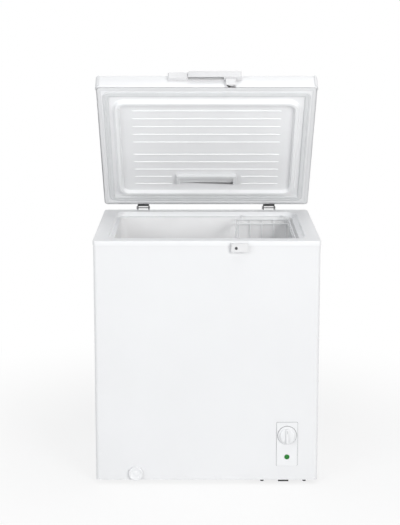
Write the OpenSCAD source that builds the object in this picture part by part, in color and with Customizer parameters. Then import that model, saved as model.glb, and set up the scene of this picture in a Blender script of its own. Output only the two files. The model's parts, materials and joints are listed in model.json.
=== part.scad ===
/* [Cabinet] */
// Width of the painted cabinet, side to side
cab_w = 726; // [620:1:860]
// Depth of the painted cabinet, front to back
cab_d = 548; // [500:1:640]
// Height from the cabinet's bottom edge to the top of the collar
cab_h = 800; // [700:1:940]
// Thickness of the sheet steel
sheet_t = 1; // [0.8:0.1:1.5]
// Radius of the cabinet's upright corners
corner_r = 12; // [8:1:18]
// Insulated wall, from the collar's outer face to the liner's inner face
wall_t = 62; // [55:1:72]
// Insulation under the storage space
floor_t = 56; // [48:1:70]
// Thickness of the liner sheet
liner_t = 1.2; // [0.8:0.1:2]
// Radius of the liner's upright corners
liner_r = 26; // [18:1:34]

/* [Compressor bay] */
// Width of the bay, from the right side inwards
bay_w = 224; // [200:1:250]
// Height of the bay above the cabinet's bottom edge
bay_h = 222; // [205:1:250]
// Insulation between the bay and the storage space
bay_wall = 48; // [40:1:60]
// Diameter of the compressor's sealed shell
comp_d = 148; // [130:1:160]
// Height of the compressor's sealed shell
comp_h = 164; // [140:1:170]
// Side-to-side spacing of the compressor's mounting bolts
comp_bolt_x = 139; // [120:1:150]
// Front-to-back spacing of the compressor's mounting bolts
comp_bolt_y = 101; // [90:1:120]
// Distance from the cabinet's middle back to the compressor's middle
comp_back = 96; // [60:1:120]

/* [Collar] */
// How far the collar stands proud of the cabinet on each side
collar_proud = 2; // [1:0.5:3]
// Height of the collar's outer skirt
collar_h = 15; // [12:1:22]
// Width of the flat rim that the lid seal lands on
rim_w = 47; // [42:1:50]
// Depth of the step inside the rim
step_h = 15; // [12:1:22]
// Wall of the collar moulding
collar_t = 3; // [2:0.5:4]

/* [Lid] */
// How far the lid stands proud of the collar at each side
lid_proud = 2.5; // [1:0.5:6]
// How far the lid stands proud of the collar at front and back
lid_end_proud = 4; // [2:0.5:6]
// Thickness of the lid, from its top to its lower edge
lid_t = 60; // [50:1:75]
// Gap between the collar and the closed lid's lower edge
seal_gap = 3; // [2.5:0.1:5]
// Sheet of the lid's outer pan
pan_t = 1.2; // [0.8:0.1:2]
// Radius of the lid's corners
lid_r = 14; // [10:1:24]
// Height of the liner's raised border under the lid
ridge_h = 12; // [8:1:12]
// Width of the liner's raised border
ridge_w = 20; // [14:1:26]
// Angle at which the lid stands open
lid_open = 54; // [20:1:70]
// How far the hinge pin is behind the collar
pin_back = 20; // [18:1:26]

/* [Handle and lock] */
// Width of the lid handle
handle_w = 245; // [200:1:280]
// How far the handle stands out from the lid's front
handle_out = 20; // [16:1:26]
// Height of the handle
handle_h = 28; // [24:1:34]
// Distance of the handle's middle to the left of the lid's middle
handle_left = 6.5; // [0:0.5:20]
// Width of the finger pocket in the handle
pocket_w = 121; // [100:1:140]
// Distance of the key barrel to the right of the middle
lock_x = 93; // [60:1:120]
// Distance of the key barrel below the collar's top
lock_down = 21; // [20:1:24]
// Radius of the latch hook's outer edge about the barrel
hook_r = 34.5; // [34:0.5:38]

/* [Controls and drain] */
// Width of the control panel
panel_w = 68; // [60:1:76]
// Height of the control panel
panel_h = 148; // [135:1:160]
// Distance of the control panel's middle to the right of the middle
panel_x = 262; // [240:1:290]
// Height of the control panel's middle above the cabinet's bottom edge
panel_z = 123; // [110:1:130]
// Diameter of the temperature knob
knob_d = 60; // [50:1:64]
// Diameter of the indicator lens
lens_d = 17; // [12:1:20]
// Diameter of the drain cap
drain_d = 46; // [40:1:48]
// Distance of the drain to the left of the middle
drain_left = 232; // [200:1:260]
// Height of the drain cap's middle above the cabinet's bottom edge
drain_z = 24; // [23.5:0.5:30]

/* [Hinges] */
// Distance of each hinge from the middle
hinge_x = 227; // [180:1:260]
// Overall width of a hinge
hinge_w = 45.5; // [40:0.5:60]
// Diameter of the hinge pins
pin_d = 6; // [5:0.5:8]
// Radial clearance of a turning fit
run_fit = 0.05; // [0.02:0.01:0.1]

/* [Basket] */
// Width of the hanging basket
basket_w = 190; // [150:1:200]
// Depth of the hanging basket from its rim to its floor
basket_h = 200; // [150:1:240]
// Diameter of the basket's frame wire
frame_wire = 5; // [4:0.5:6]
// Diameter of the basket's filling wire
fill_wire = 3; // [2.5:0.5:4]

/* [Feet] */
// Height of the feet under the cabinet
foot_h = 14; // [12:1:20]
// Diameter of the feet
foot_d = 38; // [30:1:44]
// Distance of the feet's middles from the cabinet's faces
foot_in = 60; // [45:1:80]

/* [Hidden] */
// Distance from the origin to the cabinet's middle, so that the open freezer is centred on its box
mid_y = -18;
gap = 0.3; // clearance between pieces that only lie near each other
collar_w = cab_w + 2 * collar_proud;
collar_d = cab_d + 2 * collar_proud;
collar_r = corner_r + collar_proud;
cav_w = collar_w - 2 * wall_t; // storage space, side to side
cav_d = collar_d - 2 * wall_t; // storage space, front to back
base_z = foot_h; // the cabinet's bottom edge
top_z = base_z + cab_h; // the collar's rim
floor_z = base_z + floor_t; // the storage floor's upper face
ledge_z = top_z - step_h; // the ledge inside the collar
bay_x = cab_w / 2 - bay_w; // the bay's left wall
hump_x = bay_x - bay_wall; // the storage step's left face
hump_z = base_z + bay_h + bay_wall; // the storage step's upper face
foam_top = top_z - collar_t - gap;
comp_x = panel_x - 10.5; // the compressor's middle, centred in the bay
front_y = -cab_d / 2;
back_y = cab_d / 2;
deck_t = 2; // sheet of the compressor deck
pan_lip = 20; // height of the base pan's rim
comp_z = base_z + deck_t + 8; // underside of the compressor's base plate
lid_w = collar_w + 2 * lid_proud;
lid_d = collar_d + 2 * lid_end_proud;
lid_back = pin_back - lid_end_proud; // hinge pin to the lid's rear face
lid_front = lid_back + lid_d; // hinge pin to the lid's front face
pin_y = collar_d / 2 + pin_back;
pin_z = top_z + seal_gap;
ridge_w_out = collar_w - 2 * rim_w - 6; // raised border, kept 3 mm inside the rim
ridge_d_out = collar_d - 2 * rim_w - 6;
ridge_r = liner_r + wall_t - rim_w - 3; // its corners follow the rim's
lid_mid = lid_back + lid_d / 2; // hinge pin to the lid's middle
flange_w = 16; // return flange under the pan
seal_w = 19; // width of the seal
seal_out_w = collar_w - 38; // outer size of the seal ring
seal_out_d = collar_d - 38;
dart_w = 4; // rib that holds the seal in its groove
dart_h = 6;
skin_t = 2; // moulded lid liner
cap_t = 2.5; // corner caps' wall
cap_w = 11;
coil_d = 6; // refrigerant tube in the walls
coil_pitch = 62;
coil_levels = 8;
cold_levels = 8;
cold_pitch = 54;
grille_w = 190;
grille_h = 150;
grille_z = base_z + 120;
side_grille_y = 110;
back_grille_x = cab_w / 2 - bay_w / 2 - 6;
slot_n = 9;
lock_z = top_z - lock_down;
lock_y = -collar_d / 2; // the face that the housing lies on
lock_hw = 52.5; // lock housing, side to side
lock_hh = 27.5;
lock_out = 13; // how far the housing stands out
barrel_d = 9.5;
hook_t = 4.5; // thickness of the latch arm
hook_off = 5.5; // the arm's back from the collar's face
hook_in = hook_r - 4;
keeper_n = 0; // lower face of the keeper above the lid's lower edge
keeper_w = 33;
keeper_out = 12;
handle_n = lid_t - handle_h; // underside of the handle above the lid's lower edge
shaft_d = 6;
bulb_d = 9;
drain_bore = 12;
drain_wall = 2;
spout_in = 11; // the spout's length inside the cabinet
drain_y = front_y + wall_t + 34;
grip_w = 212; // bracket inside the lid
grip_d = 40;
grip_h = 12;
screw_d = 4.2;
head_d = 8.6;
head_h = 3;
shank = 12;
leaf_w = hinge_w - 5; // over the leaf's ears, between the base's ears
ear_t = 2;

// ---- shapes used again and again ----

// A rectangle with round corners, centred
module round_rect(w, d, r) {
  square([w - 2 * r, d], center = true);
  square([w, d - 2 * r], center = true);
  for (x = [-1, 1], y = [-1, 1])
    translate([x * (w / 2 - r), y * (d / 2 - r)]) circle(r, $fn = 48);
}

// A block with round upright corners, from z0 to z1
module block(w, d, r, z0, z1) {
  translate([0, 0, z0]) linear_extrude(z1 - z0) round_rect(w, d, r);
}

// A frame between two rounded rectangles, wall t
module ring(w, d, r, t, z0, z1) {
  translate([0, 0, z0]) linear_extrude(z1 - z0) difference() {
    round_rect(w, d, r);
    round_rect(w - 2 * t, d - 2 * t, max(1, r - t));
  }
}

// A plain box from corner to corner
module span(a, b) {
  translate(a) cube(b - a);
}

// A straight round bar from a to b along one axis
module bar(a, b, d) {
  v = b - a;
  turn = v[0] != 0 ? [0, 90, 0] : v[1] != 0 ? [-90, 0, 0] : [0, 0, 0];
  s = v[0] + v[1] + v[2];
  translate(s > 0 ? a : b) rotate(turn) cylinder(h = abs(s), d = d, $fn = 24);
}

// Bars joined end to end with round elbows
module pipe(points, d) {
  for (i = [0 : len(points) - 2]) bar(points[i], points[i + 1], d);
  for (i = [1 : len(points) - 2]) translate(points[i]) sphere(d = d, $fn = 24);
}

// A screw with its head on z = 0 and its shank going down
module screw() {
  difference() {
    cylinder(h = head_h, d = head_d, $fn = 32);
    translate([0, 0, head_h - 1.4]) for (a = [0, 90])
      rotate(a) translate([-2.6, -0.5, 0]) cube([5.2, 1, 2]);
  }
  translate([0, 0, -shank]) cylinder(h = shank, d = screw_d, $fn = 24);
}

module cab_place() {
  translate([0, mid_y, 0]) children();
}

// The lid's own frame: origin on the hinge pins, front along -Y when closed, swung open by lid_open
module lid_place() {
  translate([0, mid_y + pin_y, pin_z]) rotate([-lid_open, 0, 0]) children();
}

// A lid shape centred on the lid's middle
module lid_mid_place() {
  lid_place() translate([0, -lid_mid, 0]) children();
}

// ---- cabinet ----

module wall_outline(w, d, r, t) {
  difference() {
    round_rect(w, d, r);
    round_rect(w - 2 * t, d - 2 * t, r - t);
    translate([-w / 2 + r + 8, d / 2 - 2 * t]) square([w - 2 * r - 16, 3 * t]);
  }
}

module panel_hole() {
  translate([panel_x, front_y, base_z + panel_z])
    cube([panel_w - 8, 60, panel_h - 8], center = true);
}

module drain_hole(d) {
  translate([-drain_left, front_y - 5, base_z + drain_z]) rotate([-90, 0, 0])
    cylinder(h = 30, d = d, $fn = 48);
}

module grille_hole(t) {
  translate([cab_w / 2, side_grille_y, grille_z]) cube([t, grille_w - 12, grille_h - 12], center = true);
  translate([back_grille_x, back_y, grille_z]) cube([grille_w - 12, t, grille_h - 12], center = true);
}

module outer_wrapper() {
  color("white") cab_place() difference() {
    translate([0, 0, base_z]) linear_extrude(cab_h - collar_t - gap)
      wall_outline(cab_w, cab_d, corner_r, sheet_t);
    panel_hole();
    drain_hole(20);
    grille_hole(20);
    lock_hole();
  }
}

module back_panel() {
  w = cab_w - 2 * corner_r - 16 - 2 * gap;
  color("gainsboro") cab_place() difference() {
    span([-w / 2, back_y - sheet_t, base_z], [w / 2, back_y, foam_top]);
    grille_hole(20);
    hinge_base_pilots();
    gland_hole();
  }
}

module base_pan() {
  w0 = -cab_w / 2 + sheet_t + gap;
  y0 = front_y + sheet_t + gap;
  color("silver") cab_place() difference() {
    intersection() {
      block(cab_w - 2 * sheet_t - 2 * gap, cab_d - 2 * sheet_t - 2 * gap, corner_r - sheet_t, base_z, base_z + pan_lip);
      span([w0, y0, base_z], [bay_x - gap, -y0, base_z + pan_lip]);
    }
    intersection() {
      block(cab_w - 4 * sheet_t - 2 * gap, cab_d - 4 * sheet_t - 2 * gap, corner_r - 2 * sheet_t,
            base_z + sheet_t, base_z + pan_lip + 1);
      span([w0, y0, base_z], [bay_x - gap - sheet_t, -y0, base_z + pan_lip + 1]);
    }
    drain_hole(20);
    for (y = [-1, 1]) translate(foot_at(-1, y)) cylinder(h = 4, d = 8, center = true, $fn = 32);
  }
}

module bay_space() {
  span([bay_x, front_y + sheet_t + gap, base_z - 1],
       [cab_w / 2 - sheet_t - gap, back_y - sheet_t - gap, base_z + bay_h]);
}

module bay_bulkhead() {
  color("silver") cab_place() intersection() {
    difference() {
      bay_space();
      span([bay_x + sheet_t, front_y, 0], [cab_w, back_y, base_z + bay_h - sheet_t]);
      for (p = [[suction_x, tube_y, suction_d], [hot_x, hot_y, hot_d], [drier_x, drier_y, hot_d]])
        translate([p[0], p[1], base_z + bay_h]) cylinder(h = 9, d = p[2] + 2 * gap, center = true, $fn = 32);
      translate([bay_x, bulb_y, bulb_z - 20]) rotate([0, 90, 0]) cylinder(h = 9, d = 4, center = true, $fn = 32);
    }
    block(cab_w - 2 * sheet_t - 2 * gap, cab_d - 2 * sheet_t - 2 * gap, corner_r - sheet_t,
          base_z + deck_t + gap, base_z + bay_h);
  }
}

module liner_shape(w, d, r, z0, x_step, z_step, z1) {
  difference() {
    block(w, d, r, z0, z1);
    span([x_step, -d, z0 - 1], [w, d, z_step]);
  }
}

module coil_bands(w, d, r, z0, pitch, levels, deep) {
  for (i = [0 : levels - 1])
    ring(w, d, r, deep, z0 + i * pitch - coil_d / 2 - gap, z0 + i * pitch + coil_d / 2 + gap);
}

module cabinet_foam() {
  in_w = cab_w - 2 * sheet_t - 2 * gap;
  in_d = cab_d - 2 * sheet_t - 2 * gap;
  color("khaki") cab_place() difference() {
    union() {
      block(in_w, in_d, corner_r - sheet_t, base_z + pan_lip + gap, foam_top);
      block(in_w - 2 * sheet_t - 2 * gap, in_d - 2 * sheet_t - 2 * gap, corner_r - 2 * sheet_t,
            base_z + sheet_t + gap, base_z + pan_lip + gap);
    }
    span([bay_x - sheet_t - 2 * gap, front_y, 0], [bay_x, back_y, base_z + pan_lip + gap]);
    for (y = [-1, 1]) translate(foot_at(-1, y)) cylinder(h = 24, d = 8.2, center = true, $fn = 32);
    tube_rooms();
    liner_shape(cav_w + 2 * liner_t + 2 * gap, cav_d + 2 * liner_t + 2 * gap, liner_r + liner_t,
                floor_z - liner_t - gap, hump_x + liner_t + gap, hump_z - liner_t - gap, top_z + 1);
    span([bay_x - gap, front_y, 0], [cab_w, back_y, base_z + bay_h + gap]);
    coil_bands(in_w + 2, in_d + 2, corner_r + 10, cond_z0, coil_pitch, coil_levels, coil_d + 2);
    cold_bands();
    collar_room();
    drain_room();
    bulb_room();
    hinge_base_pilots();
    lock_room();
  }
}

module inner_liner() {
  color("whitesmoke") cab_place() difference() {
    liner_shape(cav_w + 2 * liner_t, cav_d + 2 * liner_t, liner_r + liner_t, floor_z - liner_t,
                hump_x + liner_t, hump_z - liner_t, ledge_z - collar_t - gap);
    liner_shape(cav_w, cav_d, liner_r, floor_z, hump_x, hump_z, top_z);
    translate([-drain_left, drain_y, floor_z]) cylinder(h = 9, d = drain_bore + 2 * drain_wall + 2 * gap,
                                                         center = true, $fn = 48);
  }
}

module top_collar() {
  in_w = collar_w - 2 * rim_w;
  in_d = collar_d - 2 * rim_w;
  in_r = liner_r + wall_t - rim_w;
  color("white") cab_place() difference() {
    union() {
      block(collar_w, collar_d, collar_r, top_z - collar_t, top_z);
      ring(collar_w, collar_d, collar_r, collar_proud - gap, top_z - collar_h, top_z - collar_t);
      ring(in_w + 2 * collar_t, in_d + 2 * collar_t, in_r + collar_t, collar_t, ledge_z - collar_t, top_z);
      ring(in_w + 1, in_d + 1, in_r, wall_t - rim_w + 0.5, ledge_z - collar_t, ledge_z);
    }
    block(in_w, in_d, in_r, ledge_z, top_z + 1);
    block(cav_w, cav_d, liner_r, ledge_z - 10, top_z);
    lock_hole();
  }
}

// Room in the insulation for the collar's inner step
module collar_room() {
  in_w = collar_w - 2 * rim_w;
  in_d = collar_d - 2 * rim_w;
  block(in_w + 2 * collar_t + 2 * gap, in_d + 2 * collar_t + 2 * gap, liner_r + wall_t - rim_w + collar_t,
        ledge_z - collar_t - gap, top_z);
}

// ---- refrigeration ----

cond_z0 = base_z + bay_h + 62;
cold_z0 = hump_z + 30;

// One level of tube round three sides, open at the back; half widths a and b, corner radius r
module tube_level(a, b, r, b_back) {
  bar([-a, b_back, 0], [-a, -b + r, 0], coil_d);
  bar([a, b_back, 0], [a, -b + r, 0], coil_d);
  bar([-a + r, -b, 0], [a - r, -b, 0], coil_d);
  for (s = [-1, 1]) translate([s * (a - r), -b + r, 0]) rotate(s < 0 ? 180 : 270)
    rotate_extrude(angle = 90, $fn = 48) translate([r, 0]) circle(d = coil_d, $fn = 24);
}

// Levels joined by half-round return bends, so that it is one continuous tube
module serpentine(a, b, r, pitch, levels, b_back) {
  for (i = [0 : levels - 1]) translate([0, 0, i * pitch]) tube_level(a, b, r, b_back);
  for (i = [0 : levels - 2]) {
    side = i % 2 == 0 ? -1 : 1;
    translate([side * a, b_back, i * pitch]) {
      sphere(d = coil_d, $fn = 24);
      translate([0, 0, pitch]) sphere(d = coil_d, $fn = 24);
      cylinder(h = pitch, d = coil_d, $fn = 24);
    }
  }
}

module condenser_coil() {
  a = cab_w / 2 - sheet_t - gap - coil_d / 2;
  b = cab_d / 2 - sheet_t - gap - coil_d / 2;
  color("peru") cab_place() translate([0, 0, cond_z0])
    serpentine(a, b, corner_r + 6, coil_pitch, coil_levels, b - 30);
}

module evaporator_coil() {
  a = cav_w / 2 + liner_t + gap + coil_d / 2;
  b = cav_d / 2 + liner_t + gap + coil_d / 2;
  color("peru") cab_place() translate([0, 0, cold_z0])
    serpentine(a, b, liner_r + 4, cold_pitch, cold_levels, b - 30);
}

// Grooves in the insulation for the cold tube and its risers
module cold_bands() {
  w = cav_w + 2 * liner_t + 2 * gap;
  d = cav_d + 2 * liner_t + 2 * gap;
  for (i = [0 : cold_levels - 1])
    ring(w + 2 * coil_d + 2, d + 2 * coil_d + 2, liner_r + 8, coil_d + 4,
         cold_z0 + i * cold_pitch - coil_d / 2 - gap, cold_z0 + i * cold_pitch + coil_d / 2 + gap);
  for (s = [-1, 1]) {
    x = s * (w / 2 + coil_d / 2);
    y = cav_d / 2 + liner_t + gap + coil_d / 2 - 30;
    translate([x, y, cold_z0 + cold_pitch * (cold_levels - 1) / 2])
      cube([coil_d + 2, coil_d + 2, cold_pitch * (cold_levels - 1) + coil_d], center = true);
  }
  for (s = [-1, 1]) {
    x = s * (cab_w / 2 - sheet_t - gap - coil_d / 2);
    y = cab_d / 2 - sheet_t - gap - coil_d / 2 - 30;
    translate([x, y, cond_z0 + coil_pitch * (coil_levels - 1) / 2])
      cube([coil_d + 2, coil_d + 2, coil_pitch * (coil_levels - 1) + coil_d], center = true);
  }
}

module comp_corners() {
  for (x = [-1, 1], y = [-1, 1])
    translate([comp_x + x * comp_bolt_x / 2, comp_back + y * comp_bolt_y / 2, 0]) children();
}

module compressor_deck() {
  color("dimgray") cab_place() difference() {
    union() {
      span([bay_x + gap, front_y + sheet_t + gap, base_z], [cab_w / 2 - sheet_t - gap, back_y - sheet_t - gap,
           base_z + deck_t]);
      for (y = [front_y + sheet_t + gap, back_y - sheet_t - gap - deck_t])
        span([bay_x + 12, y, base_z], [cab_w / 2 - 14, y + deck_t, base_z + 16]);
    }
    comp_corners() translate([0, 0, base_z]) cylinder(h = 9, d = 8, center = true, $fn = 32);
    for (y = [-1, 1]) translate(foot_at(1, y)) cylinder(h = 9, d = 8, center = true, $fn = 32);
    for (x = [-1, 1]) translate([comp_x + x * comp_bolt_x / 2, front_y + 16, base_z])
      cylinder(h = 9, d = 8, center = true, $fn = 32);
    translate([comp_x, front_y + 16, base_z]) cylinder(h = 9, d = 10, center = true, $fn = 32);
    bay_corner_cuts();
  }
}

// The deck is kept clear of the wrapper's round corners
module bay_corner_cuts() {
  for (y = [-1, 1]) translate([cab_w / 2 - 6, y * (cab_d / 2 - 6), base_z])
    cube([14, 14, 60], center = true);
}

module deck_pad() {
  color("black") cab_place() translate([comp_x, front_y + 16, 0]) {
    translate([-17, -12, base_z - 7]) cube([34, 24, 7]);
    translate([0, 0, base_z]) cylinder(h = deck_t + 2, d = 9.6, $fn = 32);
  }
}

module deck_bolts() {
  color("black") cab_place() for (x = [-1, 1]) translate([comp_x + x * comp_bolt_x / 2, front_y + 16, 0]) {
    translate([0, 0, base_z - 9]) cylinder(h = 9, d = 12, $fn = 6);
    translate([0, 0, base_z]) cylinder(h = 12, d = 7.6, $fn = 32);
  }
}

module compressor_shell() {
  r = comp_d / 2;
  low = 14; // rounding of the lower edge
  dome = 30; // rounding of the upper edge
  seam = comp_h - 82; // welded rim between the two halves
  color("black") cab_place() translate([comp_x, comp_back, comp_z + 3]) rotate_extrude($fn = 96) union() {
    translate([0, low]) square([r, comp_h - low - dome]);
    square([r - low, low]);
    translate([r - low, low]) circle(low, $fn = 48);
    square([r - dome, comp_h]);
    translate([r - dome, comp_h - dome]) circle(dome, $fn = 96);
    translate([0, seam]) square([r + 3, 8]);
  }
}

module compressor_base() {
  color("dimgray") cab_place() difference() {
    translate([comp_x, comp_back, comp_z]) linear_extrude(3)
      round_rect(comp_bolt_x + 30, comp_bolt_y + 30, 14);
    comp_corners() translate([0, 0, comp_z]) cylinder(h = 9, d = 16, center = true, $fn = 32);
  }
}

module compressor_grommets() {
  color("black") cab_place() comp_corners() difference() {
    union() {
      translate([0, 0, base_z + deck_t]) cylinder(h = comp_z - base_z - deck_t - gap, d = 24, $fn = 48);
      translate([0, 0, comp_z - gap]) cylinder(h = 7, d = 15.4, $fn = 48);
    }
    translate([0, 0, base_z]) cylinder(h = 40, d = 8, $fn = 32);
  }
}

module compressor_bolts() {
  color("silver") cab_place() comp_corners() {
    translate([0, 0, base_z - 4]) cylinder(h = 4, d = 13, $fn = 6);
    translate([0, 0, base_z]) cylinder(h = comp_z - base_z + 7, d = 7.4, $fn = 32);
    translate([0, 0, comp_z + 6.7 + gap]) cylinder(h = 5, d = 17, $fn = 6);
  }
}

module relay_cover() {
  x = comp_x - comp_d / 2 - 3.5;
  color("black") cab_place() difference() {
    span([x - 26, comp_back - 28, comp_z + 50], [x, comp_back + 28, comp_z + 112]);
    span([x - 24, comp_back - 26, comp_z + 52], [x - 2, comp_back + 26, comp_z + 110]);
  }
}

tube_y = comp_back - 60;
suction_x = bay_x + 30;
suction_d = 6;
hot_d = 5;
hot_x = cab_w / 2 - sheet_t - gap - coil_d / 2; // the condenser's right run
hot_y = cab_d / 2 - sheet_t - gap - coil_d / 2 - 30; // its free end
cold_x = cav_w / 2 + liner_t + gap + coil_d / 2; // the evaporator's right run
cold_pipe_z = base_z + bay_h + 24; // suction pipe's level in the insulation
shell_top = comp_z + 3 + comp_h;
drier_x = comp_x + 20;
drier_y = tube_y - 60;
drier_z = comp_z + 62;

module discharge_tube() {
  color("peru") cab_place() pipe([[comp_x + 20, comp_back, shell_top], [comp_x + 20, comp_back, shell_top + 18],
    [hot_x, comp_back, shell_top + 18], [hot_x, hot_y, shell_top + 18],
    [hot_x, hot_y, cond_z0 - coil_d / 2 - gap]], hot_d);
}

module suction_tube() {
  z = shell_top + 16;
  color("peru") cab_place() pipe([[comp_x - 24, comp_back, shell_top], [comp_x - 24, comp_back, z],
    [suction_x, comp_back, z], [suction_x, tube_y, z], [suction_x, tube_y, cold_pipe_z],
    [cold_x, tube_y, cold_pipe_z], [cold_x, tube_y, cold_z0 - coil_d / 2 - gap]], suction_d);
}

// Filter drier, its inlet from the condenser and the thin capillary on its way to the evaporator
module filter_drier() {
  color("peru") cab_place() {
    translate([drier_x, drier_y, drier_z]) rotate_extrude($fn = 48)
      polygon([[0, 0], [1.2, 0], [1.2, 8], [9, 18], [9, 66], [hot_d / 2, 76], [hot_d / 2, 78], [0, 78]]);
    bar([drier_x, drier_y, drier_z + 70], [drier_x, drier_y, cold_pipe_z + 6], hot_d);
    pipe([[drier_x, drier_y, drier_z + 4], [drier_x, drier_y, drier_z - 14], [drier_x - 80, drier_y, drier_z - 14],
          [drier_x - 80, tube_y, drier_z - 14], [suction_x + 5, tube_y, drier_z - 14],
          [suction_x + 5, tube_y, shell_top + 4]], 2.4);
  }
}

// Rooms in the insulation for the pipes that pass through it
module tube_rooms() {
  c = suction_d / 2 + gap;
  span([suction_x - c, tube_y - c, base_z], [suction_x + c, tube_y + c, cold_pipe_z + c]);
  span([suction_x - c, tube_y - c, cold_pipe_z - c], [cold_x + c, tube_y + c, cold_pipe_z + c]);
  span([cold_x - c, tube_y - c, cold_pipe_z - c], [cold_x + c, tube_y + c, cold_z0]);
  h = hot_d / 2 + gap;
  span([hot_x - h, hot_y - h, base_z], [hot_x + 9, hot_y + h, cond_z0]);
  span([drier_x - h, drier_y - h, base_z], [drier_x + h, drier_y + h, cold_pipe_z + 6 + gap]);
}

module louvred_cover(w, h) {
  pitch = (h - 24) / slot_n;
  difference() {
    union() {
      translate([-w / 2, -h / 2, 0]) cube([w, h, 2.5]);
      translate([-w / 2 + 7, -h / 2 + 7, -8]) difference() {
        cube([w - 14, h - 14, 8]);
        translate([2, 2, -1]) cube([w - 18, h - 18, 10]);
      }
    }
    for (i = [0 : slot_n - 1]) translate([-w / 2 + 14, -h / 2 + 14 + i * pitch, -1])
      cube([w - 28, pitch * 0.5, 5]);
  }
}

module side_grille() {
  color("white") cab_place() translate([cab_w / 2, side_grille_y, grille_z])
    rotate([90, 0, 90]) louvred_cover(grille_w, grille_h);
}

module rear_grille() {
  color("gray") cab_place() translate([back_grille_x, back_y, grille_z])
    rotate([90, 0, 180]) louvred_cover(grille_w, grille_h);
}

// ---- controls ----

module control_panel() {
  z = base_z + panel_z;
  color("whitesmoke") cab_place() difference() {
    union() {
      translate([panel_x, front_y, z]) rotate([90, 0, 0]) linear_extrude(3) round_rect(panel_w, panel_h, 4);
      translate([panel_x, front_y, z]) rotate([-90, 0, 0]) linear_extrude(26)
        round_rect(panel_w - 8 - 2 * gap, panel_h - 8 - 2 * gap, 3);
    }
    translate([panel_x, front_y, z]) rotate([-90, 0, 0]) linear_extrude(30)
      round_rect(panel_w - 14, panel_h - 14, 2);
    translate([panel_x, front_y, knob_z]) rotate([90, 0, 0]) cylinder(h = 9, d = 12, center = true, $fn = 48);
    translate([panel_x, front_y, lamp_z]) rotate([90, 0, 0])
      cylinder(h = 9, d = lens_d - 3, center = true, $fn = 48);
  }
}

knob_z = base_z + panel_z + 31;
lamp_z = base_z + panel_z - 43;
panel_back = front_y + gap; // the inner side of the panel's face

module thermostat_body() {
  color("silver") cab_place() difference() {
    union() {
      span([panel_x - 22, panel_back, knob_z - 18], [panel_x + 22, panel_back + 30, knob_z + 18]);
      translate([panel_x, panel_back + 0.1, knob_z]) rotate([90, 0, 0]) cylinder(h = 2.6, d = 11, $fn = 48);
    }
    translate([panel_x, panel_back + 20, knob_z]) rotate([90, 0, 0])
      cylinder(h = 30, r = shaft_d / 2 + run_fit, $fn = 48);
  }
}

module temperature_knob() {
  y = front_y - 3 - gap;
  color("white") cab_place() translate([panel_x, y, knob_z]) rotate([90, 0, 0]) {
    cylinder(h = 5, d = knob_d, $fn = 96);
    translate([0, 0, 5]) cylinder(h = 7, d = knob_d - 12, $fn = 96);
    translate([-5, -knob_d / 2 + 6, 5]) cube([10, knob_d - 12, 13]);
    translate([0, 0, -22]) cylinder(h = 22, d = shaft_d, $fn = 48);
  }
}

module indicator_lens() {
  color("green") cab_place() translate([panel_x, front_y - 3, lamp_z]) rotate([90, 0, 0]) {
    cylinder(h = 1.6, d = lens_d, $fn = 64);
    translate([0, 0, -6]) cylinder(h = 6, d = lens_d - 3.4, $fn = 64);
  }
}

module indicator_lamp() {
  color("gray") cab_place() translate([panel_x, front_y + 3.2, lamp_z]) rotate([-90, 0, 0])
    cylinder(h = 18, d = 16, $fn = 48);
}

bulb_x = hump_x + liner_t + 2 * gap + bulb_d / 2;
bulb_y = -40;
bulb_z = base_z + bay_h - 60;

module thermostat_bulb() {
  z = bulb_z - 20;
  color("peru") cab_place() {
    bar([bulb_x, bulb_y, bulb_z - 60], [bulb_x, bulb_y, bulb_z + 20], bulb_d);
    pipe([[bulb_x, bulb_y, z], [bay_x + 12, bulb_y, z], [bay_x + 12, panel_back + 28, z],
          [panel_x - 22, panel_back + 28, z]], 2.4);
  }
}

// Pocket in the insulation beside the storage step for the sensing bulb and its capillary
module bulb_room() {
  r = bulb_d / 2 + gap;
  span([hump_x, bulb_y - r, bulb_z - 60 - gap], [bulb_x + r, bulb_y + r, bulb_z + 20 + gap]);
  span([bulb_x, bulb_y - 2, bulb_z - 22], [bay_x + 1, bulb_y + 2, bulb_z - 18]);
}

harness_x = comp_x - comp_d / 2 - 16.5; // in line with the middle of the relay cover

module wiring_harness() {
  z = comp_z + 80;
  color("black") cab_place() {
    pipe([[panel_x + 10, panel_back + 30, knob_z - 8], [panel_x + 10, panel_back + 44, knob_z - 8],
          [harness_x, panel_back + 44, knob_z - 8], [harness_x, panel_back + 44, z],
          [harness_x, comp_back - 28, z]], 7);
    pipe([[harness_x, comp_back + 12, comp_z + 50], [harness_x, comp_back + 12, gland_z],
          [harness_x, back_y - 14, gland_z]], 7);
  }
}

gland_x = harness_x;
gland_z = base_z + 32;

module gland_hole() {
  translate([gland_x, back_y, gland_z]) rotate([90, 0, 0]) cylinder(h = 20, d = 14, center = true, $fn = 48);
}

module cord_gland() {
  color("black") cab_place() difference() {
    translate([gland_x, 0, gland_z]) rotate([-90, 0, 0]) {
      translate([0, 0, back_y]) cylinder(h = 6, d = 20, $fn = 48);
      translate([0, 0, back_y - 14]) cylinder(h = 14, d = 13.4, $fn = 48);
      translate([0, 0, back_y - 6 - sheet_t]) cylinder(h = 6 - gap, d = 19, $fn = 48);
    }
    translate([gland_x, back_y - 8, gland_z]) rotate([-90, 0, 0]) cylinder(h = 30, d = 8, $fn = 48);
  }
}

// ---- drain ----

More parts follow.
